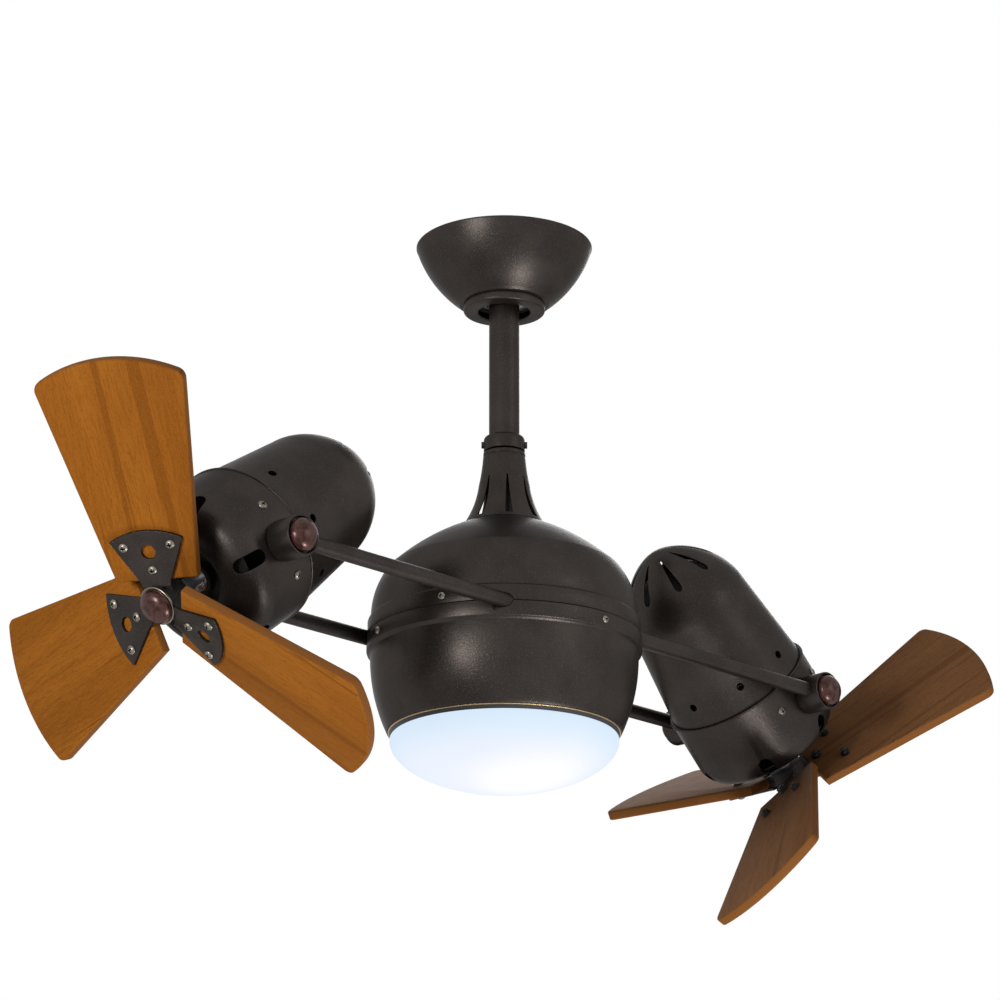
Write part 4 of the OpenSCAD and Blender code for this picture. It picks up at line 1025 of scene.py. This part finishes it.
def lamp(name, azimuth, elevation, distance, size, energy, centre=(0, 0, -0.33)):
    """A soft lamp, placed as seen from the camera: azimuth to the right, elevation up."""
    a, e = math.radians(azimuth - CAMERA_AZIMUTH), math.radians(elevation)
    way = Vector((math.sin(a) * math.cos(e), -math.cos(a) * math.cos(e), math.sin(e)))
    data = bpy.data.lights.new(name, "AREA")
    data.shape = "RECTANGLE"
    data.size, data.size_y = size
    data.energy = energy
    light = bpy.data.objects.new(name, data)
    light.matrix_world = (Matrix.Translation(Vector(centre) + way * distance)
                          @ way.to_track_quat("Z", "Y").to_matrix().to_4x4())
    bpy.context.scene.collection.objects.link(light)
    return light


class FAN_OT_stage(FanOperator, Operator):
    """Set the pale floor, the soft lamps and the camera at the photograph's angle"""

    bl_idname = "fan.stage"
    bl_label = "Stage"

    def execute(self, context):
        scene = context.scene
        scene.view_settings.view_transform = "Standard"
        camera = bpy.data.objects.new("camera", bpy.data.cameras.new("camera"))
        camera.data.sensor_width = 36
        camera.data.lens = CAMERA_LENS
        camera.data.clip_end = 200
        forward = Vector(CAMERA_WAY).normalized()
        camera.matrix_world = (Matrix.Translation(CAMERA_AT)
                               @ forward.to_track_quat("-Z", "Y").to_matrix().to_4x4())
        scene.collection.objects.link(camera)
        scene.camera = camera

        bm = bmesh.new()
        bmesh.ops.create_circle(bm, cap_ends=True, segments=96, radius=90)
        bmesh.ops.translate(bm, verts=bm.verts, vec=(0, 0, -scene.fan_sizes.floor_depth))
        mesh = bpy.data.meshes.new("floor")
        bm.to_mesh(mesh)
        bm.free()
        floor = bpy.data.objects.new("floor", mesh)
        scene.collection.objects.link(floor)
        pale = Finish("pale_floor", roughness=0.7, specular_ior_level=0.2)
        where = pale.place()
        pale.set("Base Color", pale.mix(pale.noise(where, 3, 3).ease(0.3, 0.8),
                                        (0.84, 0.84, 0.84), (0.8, 0.8, 0.8)))
        seen = 0.0
        for ray in ("Is Camera Ray", "Is Glossy Ray", "Is Transmission Ray"):
            seen = pale.node("ShaderNodeLightPath", out=ray) + seen
        pale.set("Emission Color", pale.mix(seen, (0, 0, 0), (0.66, 0.66, 0.66)))
        pale.set("Emission Strength", 1.0)
        pale.set("Alpha", 1 - pale.node("ShaderNodeNewGeometry", out="Backfacing"))
        mesh.materials.append(pale.material)

        world = bpy.data.worlds.new("studio")
        world.use_nodes = True
        tree = world.node_tree
        back = tree.nodes["Background"]
        path = tree.nodes.new("ShaderNodeLightPath")
        level = tree.nodes.new("ShaderNodeMapRange")
        level.inputs[3].default_value = 0.25
        level.inputs[4].default_value = 1.0
        seen = path.outputs["Is Camera Ray"]
        for kind in ("Is Glossy Ray", "Is Transmission Ray"):
            either = tree.nodes.new("ShaderNodeMath")
            either.operation = "MAXIMUM"
            tree.links.new(seen, either.inputs[0])
            tree.links.new(path.outputs[kind], either.inputs[1])
            seen = either.outputs[0]
        tree.links.new(seen, level.inputs[0])
        tree.links.new(level.outputs[0], back.inputs["Strength"])
        back.inputs["Color"].default_value = (1, 1, 1, 1)
        scene.world = world

        lamp("key_lamp", -35, -6, 1.9, (0.42, 0.42), 17)
        lamp("low_lamp", 54, -58, 1.6, (0.42, 0.42), 15)
        lamp("side_lamp", 60, 12, 3.0, (1.2, 1.2), 6)
        lamp("back_lamp", 170, 30, 3.0, (1.4, 1.0), 14)
        return {"FINISHED"}


OPERATORS = (FAN_OT_canopy, FAN_OT_downrod, FAN_OT_body, FAN_OT_light, FAN_OT_arms,
             FAN_OT_heads, FAN_OT_rotors, FAN_OT_stage)


class FAN_PT_panel(Panel):
    """The fan's pieces and their settings"""

    bl_idname = "FAN_PT_panel"
    bl_label = "Twin Head Ceiling Fan"
    bl_space_type = "VIEW_3D"
    bl_region_type = "UI"
    bl_category = "Fan"

    def draw(self, context):
        for group in (context.scene.fan_sizes, context.scene.fan_colours):
            for key in group.bl_rna.properties.keys():
                if key not in ("rna_type", "name"):
                    self.layout.prop(group, key)
        for operator in OPERATORS:
            self.layout.operator(operator.bl_idname)


CLASSES = (FanSizes, FanColours, *OPERATORS, FAN_PT_panel)


def register():
    for cls in CLASSES:
        bpy.utils.register_class(cls)
    bpy.types.Scene.fan_sizes = PointerProperty(type=FanSizes)
    bpy.types.Scene.fan_colours = PointerProperty(type=FanColours)


def unregister():
    del bpy.types.Scene.fan_colours
    del bpy.types.Scene.fan_sizes
    for cls in reversed(CLASSES):
        bpy.utils.unregister_class(cls)


def main():
    register()
    for step in ("stage", "canopy", "downrod", "body", "light", "arms", "heads", "rotors"):
        getattr(bpy.ops.fan, step)()


if __name__ == "__main__":
    main()
